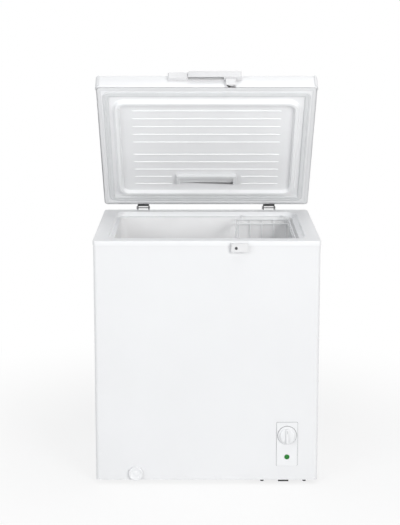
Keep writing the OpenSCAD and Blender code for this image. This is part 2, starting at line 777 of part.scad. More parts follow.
module drain_tube() {
  d = drain_bore + 2 * drain_wall;
  z = base_z + drain_z;
  color("lightgray") cab_place() difference() {
    union() {
      translate([-drain_left, drain_y, z]) cylinder(h = floor_z - z, d = d, $fn = 48);
      translate([-drain_left, drain_y, z]) sphere(d = d, $fn = 48);
      translate([-drain_left, drain_y, z]) rotate([90, 0, 0])
        cylinder(h = drain_y - front_y - spout_in - gap, d = d, $fn = 48);
    }
    translate([-drain_left, drain_y, z]) cylinder(h = 200, d = drain_bore, $fn = 48);
    translate([-drain_left, drain_y, z]) sphere(d = drain_bore, $fn = 48);
    translate([-drain_left, drain_y, z]) rotate([90, 0, 0]) cylinder(h = 200, d = drain_bore, $fn = 48);
  }
}

module drain_room() {
  d = drain_bore + 2 * drain_wall + 2 * gap;
  z = base_z + drain_z;
  translate([-drain_left, drain_y, 0]) cylinder(h = floor_z + 5, d = d, $fn = 48);
  span([-drain_left - d / 2, front_y - 1, 0], [-drain_left + d / 2, drain_y, z + d / 2]);
  translate([-drain_left, front_y - 1, z]) rotate([-90, 0, 0]) cylinder(h = 14, d = 26, $fn = 48);
}

module drain_spout() {
  z = base_z + drain_z;
  color("white") cab_place() translate([-drain_left, front_y, z]) rotate([90, 0, 0]) difference() {
    union() {
      cylinder(h = 1.5, d = 28, $fn = 64);
      cylinder(h = 7, d = 19, $fn = 64);
      translate([0, 0, -spout_in]) cylinder(h = spout_in, d = 19.4, $fn = 64);
    }
    translate([0, 0, -20]) cylinder(h = 40, d = drain_bore, $fn = 48);
  }
}

module drain_cap() {
  z = base_z + drain_z;
  color("white") cab_place() translate([-drain_left, front_y, z]) rotate([90, 0, 0]) difference() {
    translate([0, 0, gap]) cylinder(h = 11, d = drain_d, $fn = 96);
    translate([0, 0, -1]) cylinder(h = 2.5 + gap, d = 28 + 2 * gap, $fn = 64);
    translate([0, 0, -1]) cylinder(h = 8.5, d = 19 + 2 * gap, $fn = 64);
    translate([0, 0, 9]) difference() {
      cylinder(h = 9, d = drain_d - 12, $fn = 64);
      translate([0, 0, -1]) cylinder(h = 2.5, d = 16, $fn = 64);
    }
  }
}

module drain_plug() {
  color("white") cab_place() translate([-drain_left, drain_y, floor_z]) {
    translate([0, 0, gap]) cylinder(h = 3, d = 26, $fn = 64);
    translate([0, 0, 3]) cylinder(h = 8, d = 10, $fn = 48);
    translate([0, 0, -14]) cylinder(h = 15, d = drain_bore - 2 * gap, $fn = 48);
  }
}

// ---- feet ----

function foot_at(x, y) = [x * (cab_w / 2 - foot_in), y * (cab_d / 2 - foot_in), base_z];

module foot(x, y) {
  color("dimgray") cab_place() translate(foot_at(x, y)) {
    translate([0, 0, -foot_h]) cylinder(h = foot_h * 0.6, d = foot_d, $fn = 64);
    translate([0, 0, -foot_h * 0.4]) cylinder(h = foot_h * 0.4, d = foot_d * 0.7, $fn = 64);
    cylinder(h = 10, d = 7.6, $fn = 32);
  }
}

module foot_front_left() {
  foot(-1, -1);
}

module foot_front_right() {
  foot(1, -1);
}

module foot_back_left() {
  foot(-1, 1);
}

module foot_back_right() {
  foot(1, 1);
}

// ---- lock ----

module lock_hole() {
  translate([lock_x, front_y - 5, lock_z]) rotate([-90, 0, 0]) cylinder(h = 14, d = 16, $fn = 48);
}

module lock_room() {
  translate([lock_x, front_y - 5, lock_z]) rotate([-90, 0, 0]) cylinder(h = 40, d = 17, $fn = 48);
}

module lock_housing() {
  x0 = lock_x - 15.5;
  x1 = x0 + lock_hw;
  z1 = top_z - 6.5;
  y0 = lock_y - hook_off - hook_t - gap;
  y1 = lock_y - hook_off + gap;
  color("gainsboro") cab_place() difference() {
    union() {
      span([x0, lock_y - lock_out, z1 - lock_hh], [x1, lock_y - gap, z1]);
      translate([lock_x, lock_y - 1, lock_z]) rotate([-90, 0, 0]) cylinder(h = 22, d = 15, $fn = 48);
    }
    translate([lock_x, lock_y - 20, lock_z]) rotate([-90, 0, 0])
      cylinder(h = 60, r = barrel_d / 2 + run_fit, $fn = 48);
    translate([lock_x, y1, lock_z]) rotate([90, 0, 0]) cylinder(h = hook_t + 2 * gap, r = 8, $fn = 64);
    span([lock_x - 0.5, y0, lock_z - 6], [x1 - 1.2, y1, top_z]);
    span([lock_x - 6, y0, lock_z], [lock_x + 10, y1, top_z]);
  }
}

module lock_barrel() {
  color("black") cab_place() translate([lock_x, lock_y, lock_z]) rotate([90, 0, 0]) difference() {
    union() {
      translate([0, 0, -18]) cylinder(h = 18 + hook_off, d = barrel_d, $fn = 48);
      translate([0, 0, hook_off]) cylinder(h = hook_t, d = 6, $fn = 48);
      translate([0, 0, hook_off + hook_t]) cylinder(h = lock_out - hook_off - hook_t + 0.6, d = barrel_d, $fn = 48);
    }
    translate([-0.6, -3, lock_out - 2]) cube([1.2, 6, 9]);
  }
}

// The latch lies to the right in the housing when unlocked and swings up by a quarter turn
module latch_hook() {
  color("silver") cab_place() translate([lock_x, lock_y - hook_off, lock_z]) rotate([90, 0, 0])
    linear_extrude(hook_t) difference() {
      union() {
        circle(d = 13, $fn = 48);
        translate([0, -4]) square([hook_r - 2, 8]);
        intersection() {
          difference() {
            circle(hook_r, $fn = 96);
            circle(hook_in, $fn = 96);
          }
          translate([0, -4]) square([60, 17]);
        }
      }
      circle(d = 6, $fn = 48);
    }
}

// ---- hinges ----

base_top = top_z - collar_h - gap; // the hinge base's plate ends under the collar's skirt
base_low = base_top - 50;

module hinge_screw_spots(n) {
  for (z = [base_low + 10, base_low + 38], x = [-12, 12])
    translate([n * hinge_x + x, back_y, z]) children();
}

module hinge_base_pilots() {
  for (n = [-1, 1]) hinge_screw_spots(n) rotate([90, 0, 0])
    translate([0, 0, -10]) cylinder(h = 10 + shank + 1, d = screw_d + 0.1, $fn = 24);
}

module ear_profile(y0, z0, z1, w) {
  translate([y0, z0]) square([w, z1 - z0]);
  polygon([[y0, z1 - 4], [y0 + w, z0 + 20], [pin_y + 5, pin_z - 5], [pin_y - 5, pin_z + 5],
           [collar_d / 2 + gap + 0.2, pin_z - 4], [collar_d / 2 + gap + 0.2, z1 - 4]]);
  translate([pin_y, pin_z]) circle(r = 7, $fn = 48);
}

module hinge_base(n) {
  t = 2.5;
  color("silver") cab_place() difference() {
    union() {
      span([n * hinge_x - hinge_w / 2, back_y, base_low], [n * hinge_x + hinge_w / 2, back_y + t, base_top]);
      for (s = [-1, 1]) translate([n * hinge_x + s * (hinge_w / 2 - ear_t / 2) - ear_t / 2, 0, 0])
        rotate([90, 0, 90]) linear_extrude(ear_t)
          ear_profile(back_y, base_low, base_top, 10);
    }
    translate([n * hinge_x - 40, pin_y, pin_z]) rotate([0, 90, 0]) cylinder(h = 80, d = pin_d, $fn = 48);
    hinge_screw_spots(n) rotate([90, 0, 0]) translate([0, 0, -20]) cylinder(h = 30, d = screw_d + 0.1, $fn = 24);
  }
}

module hinge_base_left() {
  hinge_base(-1);
}

module hinge_base_right() {
  hinge_base(1);
}

module hinge_pin(n) {
  color("silver") cab_place() translate([n * hinge_x - hinge_w / 2 - 2.5, pin_y, pin_z]) rotate([0, 90, 0]) {
    translate([0, 0, 2.2]) cylinder(h = hinge_w + 2, d = pin_d, $fn = 48);
    cylinder(h = 2.2, d = pin_d + 4, $fn = 48);
  }
}

module hinge_pin_left() {
  hinge_pin(-1);
}

module hinge_pin_right() {
  hinge_pin(1);
}

module hinge_base_screws() {
  color("silver") cab_place() for (n = [-1, 1]) hinge_screw_spots(n)
    translate([0, 2.5, 0]) rotate([-90, 0, 0]) screw();
}

module leaf_spots(n) {
  for (z = [14, 36], x = [-10, 10]) translate([n * hinge_x + x, -lid_back, z]) children();
}

module leaf_pilots() {
  for (n = [-1, 1]) leaf_spots(n) rotate([90, 0, 0])
    translate([0, 0, -10]) cylinder(h = 10 + shank + 1, d = screw_d + 0.1, $fn = 24);
}

module hinge_leaf(n) {
  t = 2.5;
  color("dimgray") lid_place() difference() {
    union() {
      span([n * hinge_x - leaf_w / 2, -lid_back, 4], [n * hinge_x + leaf_w / 2, -lid_back + t, 44]);
      for (s = [-1, 1]) translate([n * hinge_x + s * (leaf_w / 2 - ear_t / 2) - ear_t / 2, 0, 0])
        rotate([90, 0, 90]) linear_extrude(ear_t) union() {
          polygon([[-lid_back, 4], [-4, -5], [5, 5], [-lid_back + 8, 44], [-lid_back, 44]]);
          circle(r = 7, $fn = 48);
        }
    }
    translate([n * hinge_x - 40, 0, 0]) rotate([0, 90, 0]) cylinder(h = 80, r = pin_d / 2 + run_fit, $fn = 48);
    leaf_spots(n) rotate([90, 0, 0]) translate([0, 0, -20]) cylinder(h = 30, d = screw_d + 0.1, $fn = 24);
  }
}

module hinge_leaf_left() {
  hinge_leaf(-1);
}

module hinge_leaf_right() {
  hinge_leaf(1);
}

module hinge_leaf_screws() {
  color("silver") lid_place() for (n = [-1, 1]) leaf_spots(n)
    translate([0, 2.5, 0]) rotate([-90, 0, 0]) screw();
}

// ---- lid ----

module lid_outer_pan() {
  color("white") difference() {
    lid_mid_place() {
      block(lid_w, lid_d, lid_r, lid_t - pan_t, lid_t);
      ring(lid_w, lid_d, lid_r, pan_t, 0, lid_t);
      ring(lid_w, lid_d, lid_r, flange_w, 0, pan_t);
    }
    lid_place() leaf_pilots();
  }
}

module lid_foam() {
  in = pan_t + gap;
  color("khaki") difference() {
    lid_mid_place() difference() {
      block(lid_w - 2 * in, lid_d - 2 * in, lid_r - 1, pan_t + skin_t + gap, lid_t - in);
      seal_groove(2 * gap + skin_t, dart_h + 2 * gap + skin_t);
    }
    lid_place() leaf_pilots();
  }
}

rib_n = 5; // ribs in each of the two groups
rib_pitch = 36;
rib_part = 59; // between the two groups
panel_in_w = ridge_w_out - 2 * ridge_w;
panel_in_d = ridge_d_out - 2 * ridge_w;
panel_r = max(2, ridge_r - ridge_w);

module lid_ribs() {
  for (g = [-1, 1], i = [0 : rib_n - 1]) {
    y = g * rib_part / 2 + g * (rib_n - 1) * rib_pitch / 2 + (i - (rib_n - 1) / 2) * rib_pitch;
    cut = y > grip_y - 30;
    w = 506;
    if (cut) {
      side = (w - grip_w) / 2 - 14;
      for (s = [-1, 1]) translate([s * (w / 2 - side / 2) - side / 2, y - 2, -2.5]) cube([side, 4, 3]);
    } else
      translate([-w / 2, y - 2, -2.5]) cube([w, 4, 3]);
  }
}

// The groove that the seal's rib is pushed into, grown by c on every side
module seal_groove(c, top) {
  ring(seal_out_w - seal_w + dart_w + 2 * c, seal_out_d - seal_w + dart_w + 2 * c, collar_r, dart_w + 2 * c, 0, top);
}

module lid_liner() {
  out_w = lid_w - 2 * pan_t - 2 * gap;
  out_d = lid_d - 2 * pan_t - 2 * gap;
  color("whitesmoke") lid_mid_place() difference() {
    union() {
      difference() {
        block(out_w, out_d, lid_r - 1, pan_t, pan_t + skin_t);
        block(ridge_w_out - 2 * skin_t, ridge_d_out - 2 * skin_t, ridge_r - skin_t, 0, lid_t);
      }
      intersection() {
        seal_groove(gap + skin_t, dart_h + gap + skin_t);
        block(out_w, out_d, lid_r - 1, pan_t, lid_t);
      }
      ring(ridge_w_out, ridge_d_out, ridge_r, skin_t, -ridge_h, pan_t + skin_t);
      ring(ridge_w_out, ridge_d_out, ridge_r, ridge_w, -ridge_h, -ridge_h + skin_t);
      ring(panel_in_w + 2 * skin_t, panel_in_d + 2 * skin_t, panel_r + skin_t, skin_t, -ridge_h, pan_t + skin_t);
      block(panel_in_w + skin_t, panel_in_d + skin_t, panel_r + skin_t / 2, pan_t, pan_t + skin_t);
      translate([0, 0, pan_t]) lid_ribs();
    }
    seal_groove(gap, dart_h + gap);
  }
}

module lid_seal() {
  color("gainsboro") lid_mid_place() union() {
    ring(seal_out_w, seal_out_d, collar_r + 6, seal_w, -seal_gap + gap, pan_t - gap);
    ring(seal_out_w - seal_w + dart_w, seal_out_d - seal_w + dart_w, collar_r, dart_w, -seal_gap + gap, dart_h);
  }
}

module lid_handle() {
  x0 = -handle_left - handle_w / 2;
  color("white") lid_place() difference() {
    translate([x0, -lid_front - handle_out, handle_n]) cube([handle_w, handle_out, handle_h]);
    translate([-handle_left + 3 - pocket_w / 2, -lid_front - handle_out + 4, handle_n - 1])
      cube([pocket_w, handle_out - 8, handle_h - 5]);
  }
}

// Block under the handle with an arc-shaped mouth for the latch hook
module lock_keeper() {
  x0 = lock_x + 3 - keeper_w;
  depth = (pin_z - lock_z);
  color("white") lid_place() difference() {
    translate([x0, -lid_front - keeper_out, keeper_n]) cube([keeper_w, keeper_out, handle_n - keeper_n]);
    translate([lock_x, -lid_front, -depth]) rotate([90, 0, 0]) translate([0, 0, hook_seat]) linear_extrude(hook_t + 2)
      union() {
        intersection() {
          circle(hook_r + 1.2, $fn = 96);
          translate([-7, 0]) square([60, 60]);
        }
        intersection() {
          difference() {
            circle(hook_r + 1.2, $fn = 96);
            circle(hook_in - 1.2, $fn = 96);
          }
          translate([-21, 0]) square([60, 60]);
        }
      }
  }
}

// How far the latch's slot starts in front of the lid's face, so that the hook runs in its middle
hook_seat = (collar_d / 2 + hook_off) - (lid_front - pin_y) - 1;

module lid_cap(s) {
  color("white") lid_mid_place() intersection() {
    ring(lid_w + 2 * cap_t, lid_d + 2 * cap_t, lid_r + cap_t, cap_t - gap, 10, lid_t);
    translate([s * (lid_w / 2 - cap_w / 2 + cap_t), -lid_d / 2 - cap_t + 12, 0])
      cube([cap_w, 26, 4 * lid_t], center = true);
  }
}

module lid_cap_left() {
  lid_cap(-1);
}

module lid_cap_right() {
  lid_cap(1);
}

grip_y = panel_in_d / 2 - 62; // middle of the bracket from the lid's middle, towards the hinges

module lid_bracket() {
  color("white") lid_mid_place() translate([0, grip_y, 0]) difference() {
    translate([-grip_w / 2, -grip_d / 2, -grip_h]) cube([grip_w, grip_d, grip_h + pan_t - gap]);
    translate([-grip_w / 2 + 12, -grip_d / 2 + 14, -grip_h - 1]) cube([grip_w - 24, grip_d, grip_h - 2]);
  }
}

// ---- basket ----

basket_in = 10; // the basket's frame from the liner, clear of its round corners

// Hairline joints between the basket's five grids and its hooks, so that each is a flat solid of its own
module basket_slits(x0, x1, half, low, rim) {
  c = 0.1;
  in = frame_wire / 2 + 0.1;
  over = 40;
  floor_top = low + fill_wire / 2 + 0.1;
  for (y = [-half + in, half - in - c]) translate([x0 - over, y, floor_top])
    cube([x1 - x0 + 2 * over, c, basket_h + over]);
  for (x = [x0 + in, x1 - in - c]) translate([x, -half + in, floor_top])
    cube([c, 2 * (half - in), basket_h + over]);
  for (z = [floor_top, rim - (fill_wire + 1) / 2 - 0.2]) translate([x0 - over, -half - over, z])
    cube([x1 - x0 + 2 * over, 2 * (half + over), c]);
}

module hanging_basket() {
  x1 = cav_w / 2 - basket_in;
  x0 = x1 - basket_w;
  half = cav_d / 2 - basket_in;
  rim = ledge_z + (fill_wire + 1) / 2 + gap;
  low = rim - basket_h;
  nx = 4;
  ny = 9;
  nz = 4;
  color("white") cab_place() difference() {
    union() {
      for (z = [rim - 10, rim - 10 - frame_wire - 12]) {
        for (y = [-half, half]) bar([x0, y, z], [x1, y, z], frame_wire);
        for (x = [x0, x1]) bar([x, -half, z], [x, half, z], frame_wire);
        for (x = [x0, x1], y = [-half, half]) translate([x, y, z]) sphere(d = frame_wire, $fn = 24);
      }
      for (x = [x0 + 24, x1 - 24], y = [-1, 1]) {
        bar([x, y * half, rim - 10], [x, y * half, rim], fill_wire + 1);
        translate([x, y * half, rim]) sphere(d = fill_wire + 1, $fn = 24);
        bar([x, y * half, rim], [x, y * (cav_d / 2 + 11), rim], fill_wire + 1);
      }
      for (i = [0 : nx]) {
        x = x0 + i * (x1 - x0) / nx;
        for (y = [-half, half]) bar([x, y, low], [x, y, rim - 10], fill_wire);
        bar([x, -half, low], [x, half, low], fill_wire);
        for (y = [-half, half]) translate([x, y, low]) sphere(d = fill_wire, $fn = 24);
      }
      for (i = [1 : ny - 1]) {
        y = -half + i * 2 * half / ny;
        for (x = [x0, x1]) bar([x, y, low], [x, y, rim - 10], fill_wire);
        bar([x0, y, low], [x1, y, low], fill_wire);
        for (x = [x0, x1]) translate([x, y, low]) sphere(d = fill_wire, $fn = 24);
      }
      for (k = [0 : nz - 2]) {
        z = low + k * (basket_h - 30) / (nz - 1);
        for (y = [-half, half]) bar([x0, y, z], [x1, y, z], fill_wire);
        for (x = [x0, x1]) bar([x, -half, z], [x, half, z], fill_wire);
      }
    }
    basket_slits(x0, x1, half, low, rim);
  }
}

outer_wrapper();
back_panel();
base_pan();
bay_bulkhead();
cabinet_foam();
inner_liner();
top_collar();
condenser_coil();
evaporator_coil();
compressor_deck();
deck_pad();
deck_bolts();
compressor_shell();
compressor_base();
compressor_grommets();
compressor_bolts();
relay_cover();
discharge_tube();
suction_tube();
filter_drier();
side_grille();
rear_grille();
control_panel();
thermostat_body();
thermostat_bulb();
temperature_knob();
indicator_lens();
indicator_lamp();
wiring_harness();
cord_gland();
drain_tube();
drain_spout();
drain_cap();
drain_plug();
foot_front_left();
foot_front_right();
foot_back_left();
foot_back_right();
lock_housing();
lock_barrel();
latch_hook();
hinge_base_left();
hinge_base_right();
hinge_pin_left();
hinge_pin_right();
hinge_base_screws();
hinge_leaf_left();
hinge_leaf_right();
hinge_leaf_screws();
lid_outer_pan();
lid_foam();
lid_liner();
lid_seal();
lid_handle();
lock_keeper();
lid_cap_left();
lid_cap_right();
lid_bracket();
hanging_basket();
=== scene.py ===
import bpy
import bmesh
import json
import math
from mathutils import Matrix, Vector


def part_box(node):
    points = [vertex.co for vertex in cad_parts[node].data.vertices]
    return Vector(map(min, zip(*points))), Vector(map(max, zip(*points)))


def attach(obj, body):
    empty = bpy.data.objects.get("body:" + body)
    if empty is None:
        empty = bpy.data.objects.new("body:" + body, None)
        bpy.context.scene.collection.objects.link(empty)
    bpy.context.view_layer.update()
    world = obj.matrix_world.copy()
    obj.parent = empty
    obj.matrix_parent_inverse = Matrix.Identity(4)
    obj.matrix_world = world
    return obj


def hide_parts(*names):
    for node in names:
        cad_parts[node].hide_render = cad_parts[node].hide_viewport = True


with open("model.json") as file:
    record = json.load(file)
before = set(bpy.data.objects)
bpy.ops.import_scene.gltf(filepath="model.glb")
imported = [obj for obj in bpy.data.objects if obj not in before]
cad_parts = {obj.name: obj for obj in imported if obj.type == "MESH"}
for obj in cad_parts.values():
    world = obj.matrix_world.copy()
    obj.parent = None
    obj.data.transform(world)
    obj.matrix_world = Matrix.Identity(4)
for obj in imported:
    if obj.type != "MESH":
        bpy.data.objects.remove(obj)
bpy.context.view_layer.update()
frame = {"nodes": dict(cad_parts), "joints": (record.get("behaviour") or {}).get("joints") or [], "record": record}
nodes = frame["nodes"]
mergeReach = 1e-6      # points nearer than this become one
leastRadius = 0.00005  # keeps the points of a sharp corner apart
leastCircle = 0.00002  # keeps the points at a lathe's end apart

print("frame loaded")


# helpers for shapes

def newObject(name, mesh, body, finish, stands=()):
    obj = bpy.data.objects.new(name, mesh)
    bpy.context.scene.collection.objects.link(obj)
    obj.data.materials.clear()
    obj.data.materials.append(finish)
    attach(obj, body)
    if stands:
        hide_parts(*stands)
    return obj


def shadeSoft(mesh, sharpAngle=32):
    for face in mesh.polygons:
        face.use_smooth = True
    mesh.set_sharp_from_angle(angle=math.radians(sharpAngle))


def roundEdges(obj, width, segments=2, sharpAngle=32):
    shadeSoft(obj.data, sharpAngle)
    bevel = obj.modifiers.new("edges", "BEVEL")
    bevel.width = width
    bevel.segments = segments
    bevel.limit_method = "ANGLE"
    bevel.angle_limit = math.radians(sharpAngle)
    bevel.harden_normals = True
    return obj


def meshFrom(name, points, faces, turn=None):
    mesh = bpy.data.meshes.new(name)
    mesh.from_pydata([tuple(p) for p in points], [], faces)
    mesh.validate()
    bm = bmesh.new()
    bm.from_mesh(mesh)
    bmesh.ops.remove_doubles(bm, verts=bm.verts, dist=mergeReach)
    bmesh.ops.recalc_face_normals(bm, faces=bm.faces)
    bm.to_mesh(mesh)
    bm.free()
    if turn is not None:
        mesh.transform(turn)
    return mesh


def roundedLoop(width, depth, radius, z, middle=(0, 0), steps=7):
    radius = max(radius, leastRadius)
    loop = []
    for corner, (sx, sy) in enumerate([(1, 1), (-1, 1), (-1, -1), (1, -1)]):
        cx = middle[0] + sx * (width / 2 - radius)
        cy = middle[1] + sy * (depth / 2 - radius)
        for step in range(steps + 1):
            angle = math.radians(90) * (corner + step / steps)
            loop.append(Vector((cx + radius * math.cos(angle), cy + radius * math.sin(angle), z)))
    return loop


def circleLoop(radius, z, count=96, middle=(0, 0)):
    return [Vector((middle[0] + radius * math.cos(2 * math.pi * i / count),
                    middle[1] + radius * math.sin(2 * math.pi * i / count), z))
            for i in range(count)]


def loft(name, loops, capFirst=False, capLast=False, closed=False, turn=None):
    count = len(loops[0])
    points = [p for loop in loops for p in loop]
    faces = []
    last = len(loops) if closed else len(loops) - 1
    for i in range(last):
        a, b = i * count, ((i + 1) % len(loops)) * count
        for j in range(count):
            k = (j + 1) % count
            faces.append((a + j, a + k, b + k, b + j))
    if capFirst:
        faces.append(tuple(reversed(range(count))))
    if capLast:
        faces.append(tuple(range((len(loops) - 1) * count, len(loops) * count)))
    return meshFrom(name, points, faces, turn)


def lathe(name, outline, turn, count=96):
    # outline holds (radius, height) from the axis out and back to the axis
    loops = [circleLoop(max(radius, leastCircle), height, count) for radius, height in outline]
    return loft(name, loops, True, True, turn=turn)


def prism(name, outline, low, high, turn=None):
    # an outline in XY pulled from low to high along Z
    count = len(outline)
    points = [Vector((x, y, low)) for x, y in outline] + [Vector((x, y, high)) for x, y in outline]
    faces = [tuple(reversed(range(count))), tuple(range(count, 2 * count))]
    faces += [(i, (i + 1) % count, count + (i + 1) % count, count + i) for i in range(count)]
    return meshFrom(name, points, faces, turn)


def cut(obj, cutterMesh):
    cutter = bpy.data.objects.new("cutter", cutterMesh)
    bpy.context.scene.collection.objects.link(cutter)
    cutting = obj.modifiers.new("cut", "BOOLEAN")
    cutting.operation = "DIFFERENCE"
    cutting.solver = "EXACT"
    cutting.object = cutter
    bpy.context.view_layer.update()
    graph = bpy.context.evaluated_depsgraph_get()
    done = bpy.data.meshes.new_from_object(obj.evaluated_get(graph))
    obj.modifiers.clear()
    obj.data = done
    bpy.data.objects.remove(cutter)


def blockBetween(name, low, high, turn=None):
    outline = [(low[0], low[1]), (high[0], low[1]), (high[0], high[1]), (low[0], high[1])]
    return prism(name, outline, low[2], high[2], turn)


def nodeMesh(node):
    # the part's own shape with its flat faces merged, ready for its edges to be rounded
    bm = bmesh.new()
    bm.from_mesh(nodes[node].data)
    bmesh.ops.remove_doubles(bm, verts=bm.verts, dist=mergeReach)
    bmesh.ops.dissolve_limit(bm, angle_limit=math.radians(0.6), verts=bm.verts, edges=bm.edges)
    mesh = bpy.data.meshes.new(node + "Soft")
    bm.to_mesh(mesh)
    bm.free()
    return mesh


def softPiece(node, name, body, finish, edge, segments=2):
    obj = newObject(name, nodeMesh(node), body, finish, [node])
    return roundEdges(obj, edge, segments)


def middleOf(low, high):
    return (low + high) / 2


facingFront = Matrix.Rotation(math.radians(90), 4, "X")   # local +Z points to the front


# finishes

def makeFinish(name, look):
    finish = bpy.data.materials.new(name)
    finish.use_nodes = True
    tree = finish.node_tree
    shader = tree.nodes["Principled BSDF"]
    where = tree.nodes.new("ShaderNodeTexCoord").outputs["Object"]

    def noise(size, detail, rough=0.5):
        node = tree.nodes.new("ShaderNodeTexNoise")
        node.inputs["Scale"].default_value = 1 / size
        node.inputs["Detail"].default_value = detail
        node.inputs["Roughness"].default_value = rough
        tree.links.new(where, node.inputs["Vector"])
        return node.outputs["Fac"]

    def ramp(source, low, high, lowAt=0.3, highAt=0.7):
        node = tree.nodes.new("ShaderNodeValToRGB")
        node.color_ramp.elements[0].position = lowAt
        node.color_ramp.elements[1].position = highAt
        node.color_ramp.elements[0].color = low
        node.color_ramp.elements[1].color = high
        tree.links.new(source, node.inputs["Fac"])
        return node.outputs["Color"]

    colour = look["colour"]
    spread = look.get("spread", 0.02)
    dark = tuple(c * (1 - spread) for c in colour) + (1,)
    light = tuple(min(1, c * (1 + spread)) for c in colour) + (1,)
    patches = noise(look.get("patch", 0.09), 4)
    if look.get("spangle"):
        cells = tree.nodes.new("ShaderNodeTexVoronoi")
        cells.inputs["Scale"].default_value = 1 / look["spangle"]
        tree.links.new(where, cells.inputs["Vector"])
        patches = cells.outputs["Color"]
    tree.links.new(ramp(patches, dark, light), shader.inputs["Base Color"])

    rough = look["roughness"]
    roughSpread = look.get("roughSpread", 0.04)
    spots = noise(look.get("smear", 0.03), 5, 0.65)
    span = tree.nodes.new("ShaderNodeMapRange")
    span.inputs["To Min"].default_value = rough - roughSpread
    span.inputs["To Max"].default_value = rough + roughSpread
    tree.links.new(spots, span.inputs["Value"])
    tree.links.new(span.outputs["Result"], shader.inputs["Roughness"])

    grain = noise(look.get("grain", 0.002), look.get("grainDetail", 2))
    if look.get("stucco"):
        pebbles = tree.nodes.new("ShaderNodeTexVoronoi")
        pebbles.feature = "SMOOTH_F1"
        pebbles.inputs["Scale"].default_value = 1 / look["stucco"]
        tree.links.new(where, pebbles.inputs["Vector"])
        grain = pebbles.outputs["Distance"]
    bump = tree.nodes.new("ShaderNodeBump")
    bump.inputs["Strength"].default_value = look.get("bump", 0.15)
    bump.inputs["Distance"].default_value = look.get("bumpHeight", 0.0002)
    tree.links.new(grain, bump.inputs["Height"])
    tree.links.new(bump.outputs["Normal"], shader.inputs["Normal"])

    shader.inputs["Metallic"].default_value = look.get("metallic", 0)
    shader.inputs["Coat Weight"].default_value = look.get("coat", 0)
    shader.inputs["Coat Roughness"].default_value = look.get("coatRoughness", 0.1)
    shader.inputs["Specular IOR Level"].default_value = look.get("specular", 0.5)
    if look.get("glow"):
        shader.inputs["Emission Color"].default_value = tuple(colour) + (1,)
        shader.inputs["Emission Strength"].default_value = look["glow"]
    finish.diffuse_color = tuple(colour) + (1,)
    return finish


looks = {
    "cabinetEnamel": {"colour": (0.748, 0.752, 0.762), "spread": 0.012, "roughness": 0.34, "grain": 0.0035,
                      "bump": 0.10, "bumpHeight": 0.00006, "coat": 0.25, "coatRoughness": 0.16, "patch": 0.3},
    "mouldedWhite": {"colour": (0.765, 0.77, 0.78), "spread": 0.012, "roughness": 0.42, "grain": 0.0009,
                     "bump": 0.12, "bumpHeight": 0.00005},
    "handlePlastic": {"colour": (0.685, 0.685, 0.692), "spread": 0.015, "roughness": 0.42, "grain": 0.0009,
                      "bump": 0.12, "bumpHeight": 0.00005},
    "barrelSteel": {"colour": (0.10, 0.10, 0.105), "spread": 0.15, "roughness": 0.4, "roughSpread": 0.08,
                    "metallic": 0.5, "grain": 0.0006, "bump": 0.15, "patch": 0.006},
    # painted shadow: dark grey for the thin sheets that stand in for the shade in the gaps round the control panel
    # and the knob
    "seamShade": {"colour": (0.30, 0.30, 0.31), "spread": 0.06, "roughness": 0.7, "grain": 0.001,
                  "bump": 0.15, "patch": 0.01},
    "collarWhite": {"colour": (0.775, 0.78, 0.79), "spread": 0.012, "roughness": 0.40, "grain": 0.0011,
                    "bump": 0.12, "bumpHeight": 0.00005},
    "linerEnamel": {"colour": (0.85, 0.85, 0.855), "spread": 0.015, "roughness": 0.38, "stucco": 0.0045,
                    "bump": 0.30, "bumpHeight": 0.00025, "coat": 0.2},
    "lidPlastic": {"colour": (0.862, 0.866, 0.876), "spread": 0.012, "roughness": 0.36, "grain": 0.0014,
                   "bump": 0.10, "bumpHeight": 0.00005, "coat": 0.15},
    "sealVinyl": {"colour": (0.70, 0.71, 0.72), "spread": 0.03, "roughness": 0.56, "grain": 0.0008,
                  "bump": 0.25, "bumpHeight": 0.00008, "patch": 0.04},
    "galvanised": {"colour": (0.56, 0.57, 0.58), "spread": 0.055, "roughness": 0.38, "roughSpread": 0.1,
                   "metallic": 1, "spangle": 0.007, "grain": 0.002, "bump": 0.1},
    "zincPlate": {"colour": (0.62, 0.62, 0.63), "spread": 0.08, "roughness": 0.3, "roughSpread": 0.08,
                  "metallic": 1, "grain": 0.0006, "bump": 0.2, "patch": 0.01},
    "blackEnamel": {"colour": (0.022, 0.022, 0.024), "spread": 0.2, "roughness": 0.38, "roughSpread": 0.1,
                    "grain": 0.0012, "bump": 0.2, "patch": 0.02},
    "blackPlastic": {"colour": (0.024, 0.024, 0.026), "spread": 0.15, "roughness": 0.52, "grain": 0.0007,
                     "bump": 0.3, "patch": 0.02},
    "greyPlastic": {"colour": (0.26, 0.265, 0.27), "spread": 0.06, "roughness": 0.5, "grain": 0.0008,
                    "bump": 0.3, "patch": 0.03},
    "rubber": {"colour": (0.03, 0.03, 0.03), "spread": 0.2, "roughness": 0.8, "grain": 0.001, "bump": 0.4,
               "patch": 0.01},
    "copperTube": {"colour": (0.72, 0.37, 0.22), "spread": 0.22, "roughness": 0.32, "roughSpread": 0.12,
                   "metallic": 1, "patch": 0.015, "grain": 0.001, "bump": 0.1},
    "rigidFoam": {"colour": (0.78, 0.68, 0.40), "spread": 0.12, "roughness": 0.9, "grain": 0.003,
                  "grainDetail": 6, "bump": 0.8, "bumpHeight": 0.001, "patch": 0.02},
    "greenLens": {"colour": (0.008, 0.16, 0.016), "spread": 0.25, "roughness": 0.24, "roughSpread": 0.03,
                  "coat": 0.3, "coatRoughness": 0.08, "specular": 0.3, "glow": 0.10, "patch": 0.004,
                  "grain": 0.002, "bump": 0.05},
    "coatedWire": {"colour": (0.78, 0.79, 0.80), "spread": 0.02, "roughness": 0.3, "grain": 0.002,
                   "bump": 0.15, "coat": 0.4},
    "printGrey": {"colour": (0.30, 0.31, 0.33), "spread": 0.05, "roughness": 0.5, "grain": 0.0008,
                  "bump": 0.1},
}
finishes = {name: makeFinish(name, look) for name, look in looks.items()}

